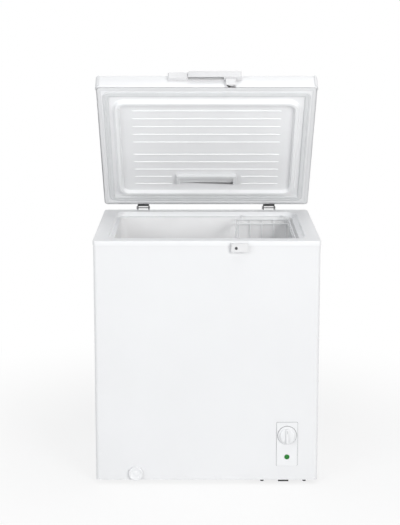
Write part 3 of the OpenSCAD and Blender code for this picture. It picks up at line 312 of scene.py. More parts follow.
finishOfSlot = {
    "white_steel": "cabinetEnamel", "white_plastic": "mouldedWhite", "liner_white": "linerEnamel",
    "lid_liner_white": "lidPlastic", "collar_white": "collarWhite", "seal_grey": "sealVinyl",
    "galvanised": "galvanised", "bright_steel": "zincPlate", "black_steel": "blackEnamel",
    "black_plastic": "blackPlastic", "grey_plastic": "greyPlastic", "black_rubber": "rubber",
    "copper": "copperTube", "foam": "rigidFoam", "green_lens": "greenLens", "wire_white": "coatedWire",
}
slotOfNode = {part["node"]: part["material_slot"] for part in frame["record"]["subparts"]}
for node, obj in nodes.items():
    obj.data.materials.clear()
    obj.data.materials.append(finishes[finishOfSlot[slotOfNode[node]]])

print("finishes made:", len(finishes))


# cabinet

wallLow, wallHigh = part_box("outer_wrapper")
rimLow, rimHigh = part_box("top_collar")
linerLow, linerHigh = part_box("inner_liner")
cabinetMiddle = middleOf(wallLow, wallHigh)

softPiece("outer_wrapper", "cabinetWrapper", "cabinet", finishes["cabinetEnamel"], 0.0003)
softPiece("back_panel", "cabinetBack", "cabinet", finishes["galvanised"], 0.0003)
softPiece("base_pan", "cabinetBase", "cabinet", finishes["galvanised"], 0.0003)
softPiece("side_grille", "sideGrille", "cabinet", finishes["mouldedWhite"], 0.0007)
softPiece("rear_grille", "rearGrille", "cabinet", finishes["greyPlastic"], 0.0007)

print("cabinet shell done")

collar = {
    "rimWidth": 0.047,
    "wallWidth": 0.062,
    "outerRadius": 0.014,
    "stepDepth": 0.015,
    "skirtHeight": 0.015,
    "thickness": 0.003,
    "edgeRound": 0.003,
    "innerRoundShare": 0.7,
    "lip": 0.0017,
    "outerZone": 0.012,
    "openingRadius": 0.041,
}


def collarRadius(inset):
    # the corner radius of the section's point that lies this far in from the outer edge
    if inset < collar["outerZone"]:
        return collar["outerRadius"] - inset
    return collar["openingRadius"] + collar["rimWidth"] - inset


def quarter(cx, cz, radius, startAngle, endAngle, steps=5):
    angles = [math.radians(startAngle + (endAngle - startAngle) * i / steps) for i in range(steps + 1)]
    return [(cx + radius * math.cos(angle), cz + radius * math.sin(angle)) for angle in angles]


def makeCollar():
    rim, wall, step = collar["rimWidth"], collar["wallWidth"], collar["stepDepth"]
    bend, thick, lip = collar["edgeRound"], collar["thickness"], collar["lip"]
    small = bend * collar["innerRoundShare"]
    section = [(0, -collar["skirtHeight"])]
    section += quarter(bend, -bend, bend, 180, 90)
    section += quarter(rim - bend, -bend, bend, 90, 0)
    section += quarter(rim + bend, -step + bend, bend, 180, 270)
    section += quarter(wall - small, -step - small, small, 90, 0)
    section += [(wall, -step - thick), (rim - thick, -step - thick), (rim - thick, -thick), (lip, -thick),
                (lip, -collar["skirtHeight"])]
    width, depth = rimHigh.x - rimLow.x, rimHigh.y - rimLow.y
    loops = [roundedLoop(width - 2 * inset, depth - 2 * inset, collarRadius(inset), rimHigh.z + z,
                         (cabinetMiddle.x, cabinetMiddle.y)) for inset, z in section]
    mesh = loft("collarRim", loops, closed=True)
    shadeSoft(mesh, 50)
    return newObject("collarRim", mesh, "cabinet", finishes["collarWhite"], ["top_collar"])


makeCollar()
print("collar done")

storage = {
    "cornerRadius": 0.026,
    "floorRadius": 0.009,
    "sheet": 0.0012,
    "stepX": 0.091,
    "stepZ": 0.284,
    "drainHole": 0.0083,
    "drainCutPast": 0.01,
    "outerCornerFrom": 0.2,
}


def makeStorage():
    # a thin shell with a step over the machinery, its corners rounded and its top open
    sheet = storage["sheet"]
    lowX, highX = linerLow.x + sheet, linerHigh.x - sheet
    lowY, highY = linerLow.y + sheet, linerHigh.y - sheet
    lowZ, highZ = linerLow.z + sheet, linerHigh.z
    outline = [(lowX, lowZ), (storage["stepX"], lowZ), (storage["stepX"], storage["stepZ"]),
               (highX, storage["stepZ"]), (highX, highZ), (lowX, highZ)]
    bm = bmesh.new()
    front = [bm.verts.new((x, lowY, z)) for x, z in outline]
    back = [bm.verts.new((x, highY, z)) for x, z in outline]
    count = len(outline)
    bm.faces.new(front)
    bm.faces.new(list(reversed(back)))
    for i in range(count):
        j = (i + 1) % count
        bm.faces.new((front[j], front[i], back[i], back[j]))
    upright = [e for e in bm.edges if abs(e.verts[0].co.x - e.verts[1].co.x) < mergeReach
               and abs(e.verts[0].co.y - e.verts[1].co.y) < mergeReach
               and abs(e.verts[0].co.x) > storage["outerCornerFrom"]]
    bmesh.ops.bevel(bm, geom=upright, offset=storage["cornerRadius"], segments=8, profile=0.5,
                    affect="EDGES", clamp_overlap=False)
    bm.edges.ensure_lookup_table()
    sharp = [e for e in bm.edges if len(e.link_faces) == 2 and e.calc_face_angle(0) > math.radians(60)
             and max(v.co.z for v in e.verts) < highZ - 1e-4 or
             (len(e.link_faces) == 2 and abs(e.verts[0].co.x - storage["stepX"]) < 1e-5
              and abs(e.verts[1].co.x - storage["stepX"]) < 1e-5)]
    bmesh.ops.bevel(bm, geom=sharp, offset=storage["floorRadius"], segments=4, profile=0.5,
                    affect="EDGES", clamp_overlap=True)
    top = [f for f in bm.faces if all(v.co.z > highZ - 1e-5 for v in f.verts)]
    bmesh.ops.delete(bm, geom=top, context="FACES")
    bmesh.ops.recalc_face_normals(bm, faces=bm.faces)
    bmesh.ops.reverse_faces(bm, faces=bm.faces)
    mesh = bpy.data.meshes.new("storageLiner")
    bm.to_mesh(mesh)
    bm.free()
    obj = newObject("storageLiner", mesh, "cabinet", finishes["linerEnamel"], ["inner_liner"])
    shell = obj.modifiers.new("sheet", "SOLIDIFY")
    shell.thickness = sheet
    shell.offset = -1
    plugLow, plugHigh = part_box("drain_plug")
    at = middleOf(plugLow, plugHigh)
    past = storage["drainCutPast"]
    loops = [circleLoop(storage["drainHole"], z, 48, (at.x, at.y)) for z in (lowZ - past, lowZ + past)]
    cut(obj, loft("drainCutter", loops, True, True))
    shadeSoft(obj.data, 40)
    return obj


makeStorage()
print("storage liner done")


# lid

lidJoint = next(j for j in frame["joints"] if j["name"] == "lid_hinge")
openAngle = -math.radians(lidJoint["range_deg"][0])
lidTurn = Matrix.Translation(Vector(lidJoint["pos_m"])) @ Matrix.Rotation(-openAngle, 4, "X")
lidBack = lidTurn.inverted()


def lidBox(node):
    # a node's lowest and highest corner with the lid shut and its pin at the origin
    spots = [lidBack @ v.co for v in nodes[node].data.vertices]
    low = Vector([min(p[i] for p in spots) for i in range(3)])
    high = Vector([max(p[i] for p in spots) for i in range(3)])
    return low, high


panLow, panHigh = lidBox("lid_outer_pan")
lidMiddle = middleOf(panLow, panHigh)
lidSpot = (lidMiddle.x, lidMiddle.y)
lidWidth, lidDepth = panHigh.x - panLow.x, panHigh.y - panLow.y

lidShell = {
    "cornerRadius": 0.014,
    "topRound": 0.006,
    "lowRound": 0.009,
    "sheet": 0.0012,
    "flange": 0.016,
    "leastCorner": 0.001,
}


def makeLidShell():
    sheet, flange, corner = lidShell["sheet"], lidShell["flange"], lidShell["cornerRadius"]
    top, low = panHigh.z, panLow.z
    section = [(sheet, top - sheet), (sheet, low + sheet), (flange, low + sheet), (flange, low)]
    bend = lidShell["lowRound"]
    section += [(bend - bend * math.sin(a), low + bend - bend * math.cos(a))
                for a in [math.radians(degrees) for degrees in (0, 18, 36, 54, 72, 90)]]
    bend = lidShell["topRound"]
    section += [(bend - bend * math.cos(a), top - bend + bend * math.sin(a))
                for a in [math.radians(degrees) for degrees in (0, 15, 30, 45, 60, 75, 90)]]
    most = corner - lidShell["leastCorner"]
    loops = [roundedLoop(lidWidth - 2 * inset, lidDepth - 2 * inset, corner - min(inset, most), z, lidSpot)
             for inset, z in section]
    mesh = loft("lidShell", loops, True, True, turn=lidTurn)
    shadeSoft(mesh, 40)
    return newObject("lidShell", mesh, "lid", finishes["cabinetEnamel"], ["lid_outer_pan"])


makeLidShell()
print("lid shell done")

lidPanel = {
    "ridgeWidth": 0.022,
    "cornerRadius": 0.038,
    "ribCount": 5,
    "ribPitch": 0.036,
    "ribLength": 0.506,
    "ribWidth": 0.0055,
    "ribHeight": 0.0026,
    "groupGap": 0.059,
    "outerSlope": 0.009,
    "innerSlope": 0.0055,
    "slopeSteps": 30,
    "plateMargin": 0.003,
    "plateRadius": 0.0125,
    "rimGap": 0.006,
    "footRadiusExtra": 0.003,
    "footReach": 0.002,
    "cornerShare": 0.72,
    "bracketBehind": 0.012,
    "bracketBeside": 0.014,
}


def smooth(t):
    t = max(0.0, min(1.0, t))
    return t * t * (3 - 2 * t)


def ribMesh(points, faces, xLow, xHigh, y, base):
    # a low bead with rounded ends
    halfWidth, height = lidPanel["ribWidth"] / 2, lidPanel["ribHeight"]
    length = xHigh - xLow
    stations, around = 28, 8
    start = len(points)
    for s in range(stations + 1):
        t = s / stations
        x = xLow + length * (0.5 - 0.5 * math.cos(math.pi * t))
        edge = min(x - xLow, xHigh - x)
        swell = math.sqrt(max(0.0, 1 - max(0.0, 1 - edge / (halfWidth * 4)) ** 2))
        for k in range(around + 1):
            a = math.pi * k / around
            points.append(Vector((x, y + halfWidth * math.cos(a) * max(swell, 0.02),
                                  base - height * math.sin(a) * swell)))
    for s in range(stations):
        for k in range(around):
            a = start + s * (around + 1) + k
            faces.append((a, a + 1, a + around + 2, a + around + 1))


def makeLidPanel():
    # a flat plate, a ridge that stands inside the opening's rim, and two groups of ribs
    crest = lidBox("lid_liner")[0].z
    gap, margin = lidPanel["rimGap"], lidPanel["plateMargin"]
    rimWidth = rimHigh.x - rimLow.x - 2 * collar["rimWidth"] - gap
    rimDepth = rimHigh.y - rimLow.y - 2 * collar["rimWidth"] - gap
    plate = panLow.z + lidShell["sheet"]
    width, corner = lidPanel["ridgeWidth"], lidPanel["cornerRadius"]
    footRadius = corner + lidPanel["footRadiusExtra"]
    loops = [roundedLoop(lidWidth - margin, lidDepth - margin, lidPanel["plateRadius"], plate, lidSpot),
             roundedLoop(rimWidth + gap, rimDepth + gap, footRadius, plate, lidSpot)]
    steps, outer, inner = lidPanel["slopeSteps"], lidPanel["outerSlope"], lidPanel["innerSlope"]
    for i in range(steps + 1):
        inset = (width + lidPanel["footReach"]) * i / steps
        rise = smooth(inset / outer) * (1 - smooth((inset - width + inner) / inner))
        loops.append(roundedLoop(rimWidth - 2 * inset, rimDepth - 2 * inset,
                                 corner - inset * lidPanel["cornerShare"],
                                 plate + (crest - plate) * rise, lidSpot))
    count = len(loops[0])
    points = [p for loop in loops for p in loop]
    faces = []
    for i in range(len(loops) - 1):
        for j in range(count):
            k = (j + 1) % count
            faces.append((i * count + j, i * count + k, (i + 1) * count + k, (i + 1) * count + j))
    faces.append(tuple(range((len(loops) - 1) * count, len(loops) * count)))
    gripLow, gripHigh = lidBox("lid_bracket")
    pitch, number = lidPanel["ribPitch"], lidPanel["ribCount"]
    half, beside = lidPanel["ribLength"] / 2, lidPanel["bracketBeside"]
    groupMiddle = lidPanel["groupGap"] / 2 + (number - 1) * pitch / 2
    for side in (-1, 1):
        for i in range(number):
            y = lidMiddle.y + side * groupMiddle + (i - (number - 1) / 2) * pitch
            if y > gripLow.y - lidPanel["bracketBehind"]:
                ribMesh(points, faces, -half, gripLow.x - beside, y, plate)
                ribMesh(points, faces, gripHigh.x + beside, half, y, plate)
            else:
                ribMesh(points, faces, -half, half, y, plate)
    mesh = bpy.data.meshes.new("lidPanel")
    mesh.from_pydata([tuple(p) for p in points], [], faces)
    mesh.transform(lidTurn)
    shadeSoft(mesh, 60)
    return newObject("lidPanel", mesh, "lid", finishes["lidPlastic"], ["lid_liner"])


makeLidPanel()
print("lid panel done")

seal = {
    "cornerRadius": 0.020,
    "leastCorner": 0.002,
    "section": [(0.0, 0.0009), (0.0, -0.0006), (0.0012, -0.0021), (0.004, -0.0027), (0.006, -0.0024),
                (0.0070, -0.0014), (0.0080, -0.0024), (0.0100, -0.0027), (0.0150, -0.0027),
                (0.0178, -0.0022), (0.019, -0.001), (0.019, 0.0009)],
}


def makeSeal():
    low, high = lidBox("lid_seal")
    width, depth = high.x - low.x, high.y - low.y
    corner, least = seal["cornerRadius"], seal["leastCorner"]
    loops = [roundedLoop(width - 2 * inset, depth - 2 * inset, max(corner - inset, least), z, lidSpot)
             for inset, z in seal["section"]]
    mesh = loft("lidSeal", loops, closed=True, turn=lidTurn)
    shadeSoft(mesh, 60)
    return newObject("lidSeal", mesh, "lid", finishes["sealVinyl"], ["lid_seal"])


makeSeal()

handle = {
    "wall": 0.004,
    "pocketLow": -0.064,
    "pocketHigh": 0.057,
    "pocketDeep": 0.023,
    "leftOut": 0.014,
    "leftEnd": -0.066,
    "leftChamfer": 0.004,
    "rightChamfer": 0.003,
    "slope": 0.010,
    "cutPast": 0.01,
    "edge": 0.0022,
}


def makeHandle():
    low, high = lidBox("lid_handle")
    left, right, back, out = low.x, high.x, high.y, low.y
    step = back - handle["leftOut"]
    leftCut, rightCut, end = handle["leftChamfer"], handle["rightChamfer"], handle["leftEnd"]
    outline = [(left, back), (left, step + leftCut), (left + leftCut, step), (end, step),
               (end + handle["slope"], out), (right - rightCut, out), (right, out + rightCut), (right, back)]
    mesh = prism("lidHandle", outline, low.z, high.z, lidTurn)
    obj = newObject("lidHandle", mesh, "lid", finishes["handlePlastic"], ["lid_handle"])
    wall = handle["wall"]
    pocketStart = Vector((handle["pocketLow"], out + wall, low.z - handle["cutPast"]))
    pocketEnd = Vector((handle["pocketHigh"], back - wall, low.z + handle["pocketDeep"]))
    cut(obj, blockBetween("pocketCutter", pocketStart, pocketEnd, lidTurn))
    return roundEdges(obj, handle["edge"], 3)


makeHandle()
softPiece("lock_keeper", "lockKeeper", "lid", finishes["handlePlastic"], 0.0008)
softPiece("lid_cap_left", "lidCapLeft", "lid", finishes["mouldedWhite"], 0.0005)
softPiece("lid_cap_right", "lidCapRight", "lid", finishes["mouldedWhite"], 0.0005)
softPiece("lid_bracket", "lidBracket", "lid", finishes["mouldedWhite"], 0.0022, 3)
print("lid fittings done")


# hinges and lock

for side in ("left", "right"):
    name = side.capitalize()
    softPiece("hinge_base_" + side, "hingeBase" + name, "cabinet",
              finishes["zincPlate"], 0.0004)
    softPiece("hinge_leaf_" + side, "hingeLeaf" + name, "lid",
              finishes["blackEnamel"], 0.0004)
    softPiece("hinge_pin_" + side, "hingePin" + name, "cabinet",
              finishes["zincPlate"], 0.0004)

hingeWeb = {
    "low": -0.0055,
    "high": 0.006,
    "thick": 0.0024,
    "sideGap": 0.0005,
    "edge": 0.0005,
}


def makeHingeWeb(side):
    # the strip of the leaf that shows under the lid's edge between its two ears
    low, high = lidBox("hinge_leaf_" + side)
    gap = hingeWeb["sideGap"]
    start = Vector((low.x + gap, low.y, hingeWeb["low"]))
    end = Vector((high.x - gap, low.y + hingeWeb["thick"], hingeWeb["high"]))
    mesh = blockBetween("hingeWeb", start, end, lidTurn)
    obj = newObject("hingeWeb" + side.capitalize(), mesh, "lid", finishes["blackEnamel"])
    roundEdges(obj, hingeWeb["edge"])


for side in ("left", "right"):
    makeHingeWeb(side)
softPiece("lock_housing", "lockHousing", "cabinet", finishes["handlePlastic"], 0.0012, 3)
softPiece("lock_barrel", "lockBarrel", "latch", finishes["barrelSteel"], 0.0003)
softPiece("latch_hook", "latchHook", "latch", finishes["zincPlate"], 0.0004)
print("hinges and lock done")


# controls

panelLow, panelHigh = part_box("control_panel")
knobLow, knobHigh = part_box("temperature_knob")
lensLow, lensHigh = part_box("indicator_lens")
knobMiddle = middleOf(knobLow, knobHigh)
lensMiddle = middleOf(lensLow, lensHigh)

softPiece("control_panel", "controlPanel", "cabinet", finishes["mouldedWhite"], 0.0010, 3)

knob = {
    "rim": 0.030,
    "rimThick": 0.0048,
    "skirt": 0.0245,
    "gripHalf": 0.0052,
    "gripLong": 0.0238,
    "seatGap": 0.0003,
    "topGap": 0.0001,
    "markWidth": 0.0012,
    "markLength": 0.010,
    "markRound": 0.0005,
    "markInset": 0.0085,
    "markSunk": 0.0002,
    "markProud": 0.00005,
}


def makeKnob():
    # a round skirt with a bar across it to grip, and a printed mark on the bar
    seat = panelLow.y - knob["seatGap"]
    front = Matrix.Translation((knobMiddle.x, seat, knobMiddle.z)) @ facingFront
    height = seat - knobLow.y - knob["topGap"]
    rim, skirt, t = knob["rim"], knob["skirt"], knob["rimThick"]
    outline = [(0, 0), (rim - 0.0006, 0), (rim, 0.0006), (rim, t - 0.0014), (rim - 0.0004, t - 0.0004),
               (rim - 0.0014, t), (skirt + 0.0012, t), (skirt + 0.0003, t + 0.0008),
               (skirt - 0.0006, t + 0.0045), (skirt - 0.0016, t + 0.0064),
               (skirt - 0.0035, t + 0.0072), (0, t + 0.0076)]
    body = lathe("knobBody", outline, front)
    half, long = knob["gripHalf"], knob["gripLong"]
    loops = []
    for z, shrink in [(t, -0.0012), (t + 0.006, -0.0004), (height - 0.003, 0.0), (height - 0.0012, 0.0006),
                      (height - 0.0003, 0.0018), (height, 0.0034)]:
        radius = max(half - shrink - 0.0003, 0.001)
        loops.append(roundedLoop(2 * (half - shrink), 2 * (long - shrink), radius, z))
    grip = loft("knobGrip", loops, True, True, turn=front)
    bm = bmesh.new()
    bm.from_mesh(body)
    bm.from_mesh(grip)
    bm.to_mesh(body)
    bm.free()
    shadeSoft(body, 35)
    newObject("temperatureKnob", body, "knob", finishes["mouldedWhite"],
              ["temperature_knob"])
    place = (0, long - knob["markInset"])
    loops = [roundedLoop(knob["markWidth"], knob["markLength"], knob["markRound"], z, place)
             for z in (height - knob["markSunk"], height + knob["markProud"])]
    mark = loft("knobMark", loops, True, True, turn=front)
    newObject("knobPointer", mark, "knob", finishes["printGrey"])


makeKnob()

# sizes of the painted seam shadows, thin dark sheets where the gaps round the control panel and the knob fall in
# shade
seamShadows = {
    "panelReach": 0.0010,
    "knobReach": 0.0016,
    "thick": 0.0002,
    "lift": 0.00002,
    "panelOverlap": 0.001,
    "knobOverlap": 0.004,
    "outerCorner": 0.004,
    "innerCorner": 0.003,
}


def makePaintedSeamShadows():
    # painted shadow: a dark sheet round the panel and a dark ring round the knob's skirt stand in for the shade in
    # the gaps there
    reach, over = seamShadows["panelReach"], seamShadows["panelOverlap"]
    lift, thick = seamShadows["lift"], seamShadows["thick"]
    panelMiddle = middleOf(panelLow, panelHigh)
    front = Matrix.Translation((panelMiddle.x, wallLow.y, panelMiddle.z)) @ facingFront
    width, height = panelHigh.x - panelLow.x, panelHigh.z - panelLow.z
    loops = [roundedLoop(width + 2 * reach, height + 2 * reach, seamShadows["outerCorner"], lift),
             roundedLoop(width + 2 * reach, height + 2 * reach, seamShadows["outerCorner"], thick),
             roundedLoop(width - 2 * over, height - 2 * over, seamShadows["innerCorner"], thick),
             roundedLoop(width - 2 * over, height - 2 * over, seamShadows["innerCorner"], lift)]
    newObject("panelSeamShadow", loft("panelSeamShadow", loops, closed=True, turn=front), "cabinet",
              finishes["seamShade"])
    front = Matrix.Translation((knobMiddle.x, panelLow.y, knobMiddle.z)) @ facingFront
    outer, inner = knob["rim"] + seamShadows["knobReach"], knob["rim"] - seamShadows["knobOverlap"]
    loops = [circleLoop(radius, z) for radius, z in
             ((outer, lift), (outer, thick), (inner, thick), (inner, lift))]
    newObject("knobSeamShadow", loft("knobSeamShadow", loops, closed=True, turn=front), "cabinet",
              finishes["seamShade"])


makePaintedSeamShadows()

dial = {
    "tickRadius": 0.0328,
    "tickLength": 0.0016,
    "tickWidth": 0.0007,
    "tickCount": 7,
    "tickHeight": 0.00008,
    "sweep": 270,
    "top": 90,
}


def makeDial():
    front = Matrix.Translation((knobMiddle.x, panelLow.y, knobMiddle.z)) @ facingFront
    points, faces = [], []
    for i in range(dial["tickCount"]):
        angle = math.radians(dial["top"] + dial["sweep"] / 2 - dial["sweep"] * i / (dial["tickCount"] - 1))
        along = Vector((math.cos(angle), math.sin(angle), 0))
        across = Vector((-math.sin(angle), math.cos(angle), 0))
        inner = dial["tickRadius"] - dial["tickLength"] / 2
        outer = dial["tickRadius"] + dial["tickLength"] / 2
        start = len(points)
        for height in (0, dial["tickHeight"]):
            for reach, side in ((inner, -1), (outer, -1), (outer, 1), (inner, 1)):
                offset = across * side * dial["tickWidth"] / 2
                points.append(along * reach + offset + Vector((0, 0, height)))
        sides = ((0, 3, 2, 1), (4, 5, 6, 7), (0, 1, 5, 4), (1, 2, 6, 5), (2, 3, 7, 6), (3, 0, 4, 7))
        faces += [tuple(start + k for k in face) for face in sides]
    newObject("dialTicks", meshFrom("dialTicks", points, faces, front), "cabinet",
              finishes["printGrey"])


makeDial()


lens = {
    "stemDeep": 0.002,
    "stemInset": 0.0017,
    "edgeRound": 0.0006,
}


def makeLens():
    front = Matrix.Translation((lensMiddle.x, panelLow.y, lensMiddle.z)) @ facingFront
    radius = (lensHigh.x - lensLow.x) / 2
    height = panelLow.y - lensLow.y
    stem, deep = radius - lens["stemInset"], -lens["stemDeep"]
    outline = [(0, deep), (stem, deep), (stem, 0), (radius, 0), (radius, height * 0.45),
               (radius - lens["edgeRound"], height * 0.72), (radius * 0.7, height * 0.9), (0, height)]
    mesh = lathe("indicatorLens", outline, front, 64)
    shadeSoft(mesh, 50)
    newObject("indicatorLens", mesh, "cabinet", finishes["greenLens"], ["indicator_lens"])


makeLens()
print("controls done")


# drain

capLow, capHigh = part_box("drain_cap")
capMiddle = middleOf(capLow, capHigh)


drainCap = {
    "boreRadius": 0.0097,
    "boreDeep": 0.0080,
    "mouthRadius": 0.0144,
    "mouthDeep": 0.0024,
    "edgeRound": 0.0005,
}


def makeDrainCap():
    # hollow behind, with a raised rim and a boss in front
    front = Matrix.Translation((capMiddle.x, capHigh.y, capMiddle.z)) @ facingFront
    r, h = (capHigh.x - capLow.x) / 2, capHigh.y - capLow.y
    bore, boreDeep = drainCap["boreRadius"], drainCap["boreDeep"]
    mouth, mouthDeep, edge = drainCap["mouthRadius"], drainCap["mouthDeep"], drainCap["edgeRound"]
    outline = [(0, boreDeep), (bore, boreDeep), (bore, mouthDeep), (mouth, mouthDeep), (mouth, 0),
               (r - edge, 0), (r, edge), (r, h - 0.002), (r - 0.0006, h - 0.0006), (r - 0.002, h),
               (r - 0.0045, h), (r - 0.0058, h - 0.0006), (r - 0.0064, h - 0.0022),
               (r - 0.0074, h - 0.0024), (0.0086, h - 0.0024), (0.0080, h - 0.0018),
               (0.0074, h - 0.0008), (0.0062, h - 0.0004), (0, h - 0.0002)]
    mesh = lathe("drainCap", outline, front)
    shadeSoft(mesh, 35)
    newObject("drainCap", mesh, "cap", finishes["mouldedWhite"], ["drain_cap"])


makeDrainCap()
softPiece("drain_spout", "drainSpout", "cabinet", finishes["mouldedWhite"], 0.0004)
softPiece("drain_plug", "drainPlug", "plug", finishes["mouldedWhite"], 0.0007)


# feet, deck and machinery

for place in ("front_left", "front_right", "back_left", "back_right"):
    softPiece("foot_" + place, "foot" + place.title().replace("_", ""), "cabinet",
              finishes["greyPlastic"], 0.0012)
softPiece("deck_pad", "deckPad", "cabinet", finishes["rubber"], 0.0008)
softPiece("compressor_deck", "compressorDeck", "cabinet", finishes["blackEnamel"], 0.0005)
softPiece("cord_gland", "cordGland", "cabinet", finishes["rubber"], 0.0006)
softPiece("relay_cover", "relayCover", "cabinet", finishes["blackPlastic"], 0.0015)
print("feet and machinery done")


# basket

basket = {
    "frameWire": 0.005,
    "fillWire": 0.003,
    "hookWire": 0.004,
    "bendRadius": 0.012,
    "acrossCount": 5,
    "alongCount": 9,
    "bandCount": 3,
    "frameDrop": 0.010,
    "frameGap": 0.012,
    "hookReach": 0.021,
    "hookInset": 0.024,
    "hookEndGap": 0.001,
    "hookBend": 0.004,
}


def wireCurve(name, thickness, runs, closedRuns=()):
    curve = bpy.data.curves.new(name, "CURVE")
    curve.dimensions = "3D"
    curve.bevel_depth = thickness / 2
    curve.bevel_resolution = 3
    curve.use_fill_caps = True
    for run, closed in [(r, False) for r in runs] + [(r, True) for r in closedRuns]:
        line = curve.splines.new("POLY")
        line.points.add(len(run) - 1)
        for point, place in zip(line.points, run):
            point.co = (*place, 1)
        line.use_cyclic_u = closed
        line.use_smooth = True
    return curve


def bent(path, radius, steps=5, closed=False):
    # corner points joined by round bends
    out = []
    count = len(path)
    for i, point in enumerate(path):
        if not closed and i in (0, count - 1):
            out.append(point)
            continue
        before, after = path[i - 1], path[(i + 1) % count]
        toBefore, toAfter = (before - point).normalized(), (after - point).normalized()
        a, b = point + toBefore * radius, point + toAfter * radius
        for s in range(steps + 1):
            t = s / steps
            out.append(a * (1 - t) ** 2 + point * 2 * t * (1 - t) + b * t ** 2)
    return out


def makeBasket():
    low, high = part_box("hanging_basket")
    thick, thin, hookWire = basket["frameWire"], basket["fillWire"], basket["hookWire"]
    hookReach, hookInset, endGap = basket["hookReach"], basket["hookInset"], basket["hookEndGap"]
    lowX, highX = low.x + thick / 2, high.x - thick / 2
    lowY, highY = low.y + hookReach, high.y - hookReach
    topZ, floorZ = high.z - hookWire / 2, low.z + thin / 2
    drop = basket["frameDrop"]
    frameZ = [topZ - drop, topZ - drop - thick - basket["frameGap"]]
    bend = basket["bendRadius"]
    frames = []
    for z in frameZ:
        frames.append(bent([Vector((lowX, lowY, z)), Vector((highX, lowY, z)), Vector((highX, highY, z)),
                            Vector((lowX, highY, z))], bend, closed=True))
    obj = newObject("basketFrame", wireCurve("basketFrame", thick, [], frames), "basket",
                    finishes["coatedWire"], ["hanging_basket"])
    runs = []
    across, along = basket["acrossCount"], basket["alongCount"]
    for i in range(across):
        x = lowX + bend + (highX - lowX - 2 * bend) * i / (across - 1)
        runs.append(bent([Vector((x, lowY, frameZ[0])), Vector((x, lowY, floorZ)), Vector((x, highY, floorZ)),
                          Vector((x, highY, frameZ[0]))], bend))
    for i in range(1, along):
        y = lowY + (highY - lowY) * i / along
        runs.append(bent([Vector((lowX, y, frameZ[0])), Vector((lowX, y, floorZ + thin)),
                          Vector((highX, y, floorZ + thin)), Vector((highX, y, frameZ[0]))], bend))
    bands = []
    for k in range(1, basket["bandCount"]):
        z = floorZ + (frameZ[1] - floorZ) * k / basket["bandCount"]
        bands.append(bent([Vector((lowX, lowY, z)), Vector((highX, lowY, z)), Vector((highX, highY, z)),
                           Vector((lowX, highY, z))], bend, closed=True))
    newObject("basketWires", wireCurve("basketWires", thin, runs, bands), "basket",
              finishes["coatedWire"])
    hooks = []
    for x in (lowX + hookInset, highX - hookInset):
        for y, end in ((lowY, low.y + endGap), (highY, high.y - endGap)):
            path = [Vector((x, y, frameZ[0])), Vector((x, y, topZ)), Vector((x, end, topZ))]
            hooks.append(bent(path, basket["hookBend"]))
    newObject("basketHooks", wireCurve("basketHooks", hookWire, hooks), "basket",
              finishes["coatedWire"])


makeBasket()
print("basket done")


# floor, light and camera

studio = {
    "floorSize": 30.0,
    "shadowNear": 0.45,
    "shadowFar": 1.5,
    "nearWhite": 0.80,
    "worldLight": 0.32,
    "keyPower": 226.0,
    "keyPlace": (3.2, -5.5, 2.6),
    "fillPower": 66.0,
    "fillPlace": (-3.0, -3.2, 2.2),
    "topPower": 29.0,
    "topPlace": (0.2, -0.6, 3.6),
}


def whiteForCamera(tree, lit, strength):
    # lit by the lamps for everything but a direct or mirrored look, which sees plain white
    path = tree.nodes.new("ShaderNodeLightPath")
    glow = tree.nodes.new("ShaderNodeEmission" if lit.type != "BACKGROUND" else "ShaderNodeBackground")
    glow.inputs["Strength"].default_value = strength
    first = tree.nodes.new("ShaderNodeMath")
    first.operation = "MAXIMUM"
    second = tree.nodes.new("ShaderNodeMath")
    second.operation = "MAXIMUM"
    tree.links.new(path.outputs["Is Camera Ray"], first.inputs[0])
    tree.links.new(path.outputs["Is Glossy Ray"], first.inputs[1])
    tree.links.new(first.outputs["Value"], second.inputs[0])
    tree.links.new(path.outputs["Is Transmission Ray"], second.inputs[1])
    return glow, second.outputs["Value"]


def makeWorld():
    world = bpy.data.worlds.new("studioWorld")
    bpy.context.scene.world = world
    world.use_nodes = True
    tree = world.node_tree
    plain = tree.nodes["Background"]
    plain.inputs["Color"].default_value = (0.96, 0.98, 1.0, 1)
    plain.inputs["Strength"].default_value = studio["worldLight"]
    glow, seen = whiteForCamera(tree, plain, 1.0)
    glow.inputs["Color"].default_value = (1, 1, 1, 1)
    mix = tree.nodes.new("ShaderNodeMixShader")
    tree.links.new(seen, mix.inputs["Fac"])
    tree.links.new(plain.outputs[0], mix.inputs[1])
    tree.links.new(glow.outputs[0], mix.inputs[2])
    tree.links.new(mix.outputs[0], tree.nodes["World Output"].inputs["Surface"])


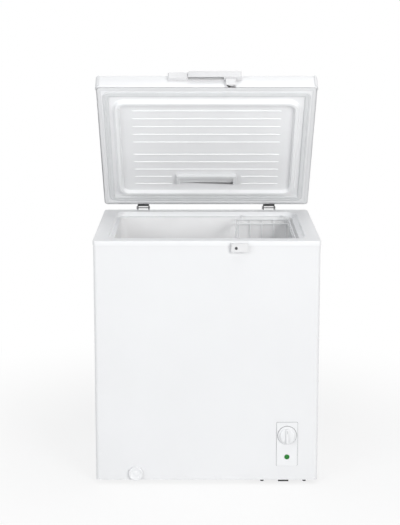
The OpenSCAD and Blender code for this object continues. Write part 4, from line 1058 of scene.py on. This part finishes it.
def makeFloor():
    half = studio["floorSize"] / 2
    corners = [(-half, -half, 0), (half, -half, 0), (half, half, 0), (-half, half, 0)]
    mesh = meshFrom("studioFloor", [Vector(corner) for corner in corners], [(0, 1, 2, 3)])
    floor = bpy.data.objects.new("studioFloor", mesh)
    bpy.context.scene.collection.objects.link(floor)
    paint = bpy.data.materials.new("floorPaint")
    paint.use_nodes = True
    tree = paint.node_tree
    tree.nodes.remove(tree.nodes["Principled BSDF"])
    plain = tree.nodes.new("ShaderNodeBsdfDiffuse")
    plain.inputs["Color"].default_value = (0.86, 0.86, 0.86, 1)
    glow, seen = whiteForCamera(tree, plain, 1.0)
    # near the freezer the floor's look still takes some shadow, and further out it is plain white
    place = tree.nodes.new("ShaderNodeTexCoord").outputs["Object"]
    reach = tree.nodes.new("ShaderNodeVectorMath")
    reach.operation = "LENGTH"
    tree.links.new(place, reach.inputs[0])
    fade = tree.nodes.new("ShaderNodeMapRange")
    fade.interpolation_type = "SMOOTHSTEP"
    fade.inputs["From Min"].default_value = studio["shadowNear"]
    fade.inputs["From Max"].default_value = studio["shadowFar"]
    fade.inputs["To Min"].default_value = studio["nearWhite"]
    fade.inputs["To Max"].default_value = 1.0
    tree.links.new(reach.outputs["Value"], fade.inputs["Value"])
    part = tree.nodes.new("ShaderNodeMath")
    part.operation = "MULTIPLY"
    tree.links.new(seen, part.inputs[0])
    tree.links.new(fade.outputs["Result"], part.inputs[1])
    mix = tree.nodes.new("ShaderNodeMixShader")
    tree.links.new(part.outputs[0], mix.inputs["Fac"])
    tree.links.new(plain.outputs[0], mix.inputs[1])
    tree.links.new(glow.outputs[0], mix.inputs[2])
    tree.links.new(mix.outputs[0], tree.nodes["Material Output"].inputs["Surface"])
    floor.data.materials.append(paint)


def softLamp(name, place, aim, size, power, colour):
    lamp = bpy.data.lights.new(name, "AREA")
    lamp.shape = "RECTANGLE"
    lamp.size, lamp.size_y = size
    lamp.energy = power
    lamp.color = colour
    obj = bpy.data.objects.new(name, lamp)
    obj.location = place
    obj.rotation_euler = (Vector(aim) - Vector(place)).to_track_quat("-Z", "Y").to_euler()
    obj.visible_camera = False
    bpy.context.scene.collection.objects.link(obj)


makeWorld()
makeFloor()
softLamp("keyLamp", studio["keyPlace"], (0, 0, 0.7), (2.4, 2.4), studio["keyPower"], (1.0, 0.995, 0.985))
softLamp("fillLamp", studio["fillPlace"], (0, 0, 0.6), (2.4, 2.4), studio["fillPower"], (0.98, 0.99, 1.0))
softLamp("topLamp", studio["topPlace"], (0, 0, 0.6), (2.0, 2.0), studio["topPower"], (1, 1, 1))

shot = {
    "distance": 4.221,
    "height": 1.647,
    "side": -0.022,
    "tilt": 9.33,
    "lens": 86.89,
    "shift": -0.15,
    "sensor": 36,
    "farLimit": 100,
}


def makeCamera():
    camera = bpy.data.cameras.new("studioCamera")
    camera.lens = shot["lens"]
    camera.sensor_width = shot["sensor"]
    camera.shift_y = shot["shift"]
    camera.clip_end = shot["farLimit"]
    obj = bpy.data.objects.new("studioCamera", camera)
    obj.location = (shot["side"], cabinetMiddle.y - shot["distance"], shot["height"])
    obj.rotation_euler = (math.radians(90 - shot["tilt"]), 0, 0)
    bpy.context.scene.collection.objects.link(obj)
    bpy.context.scene.camera = obj


makeCamera()
bpy.context.scene.view_settings.view_transform = "Standard"
print("studio done")
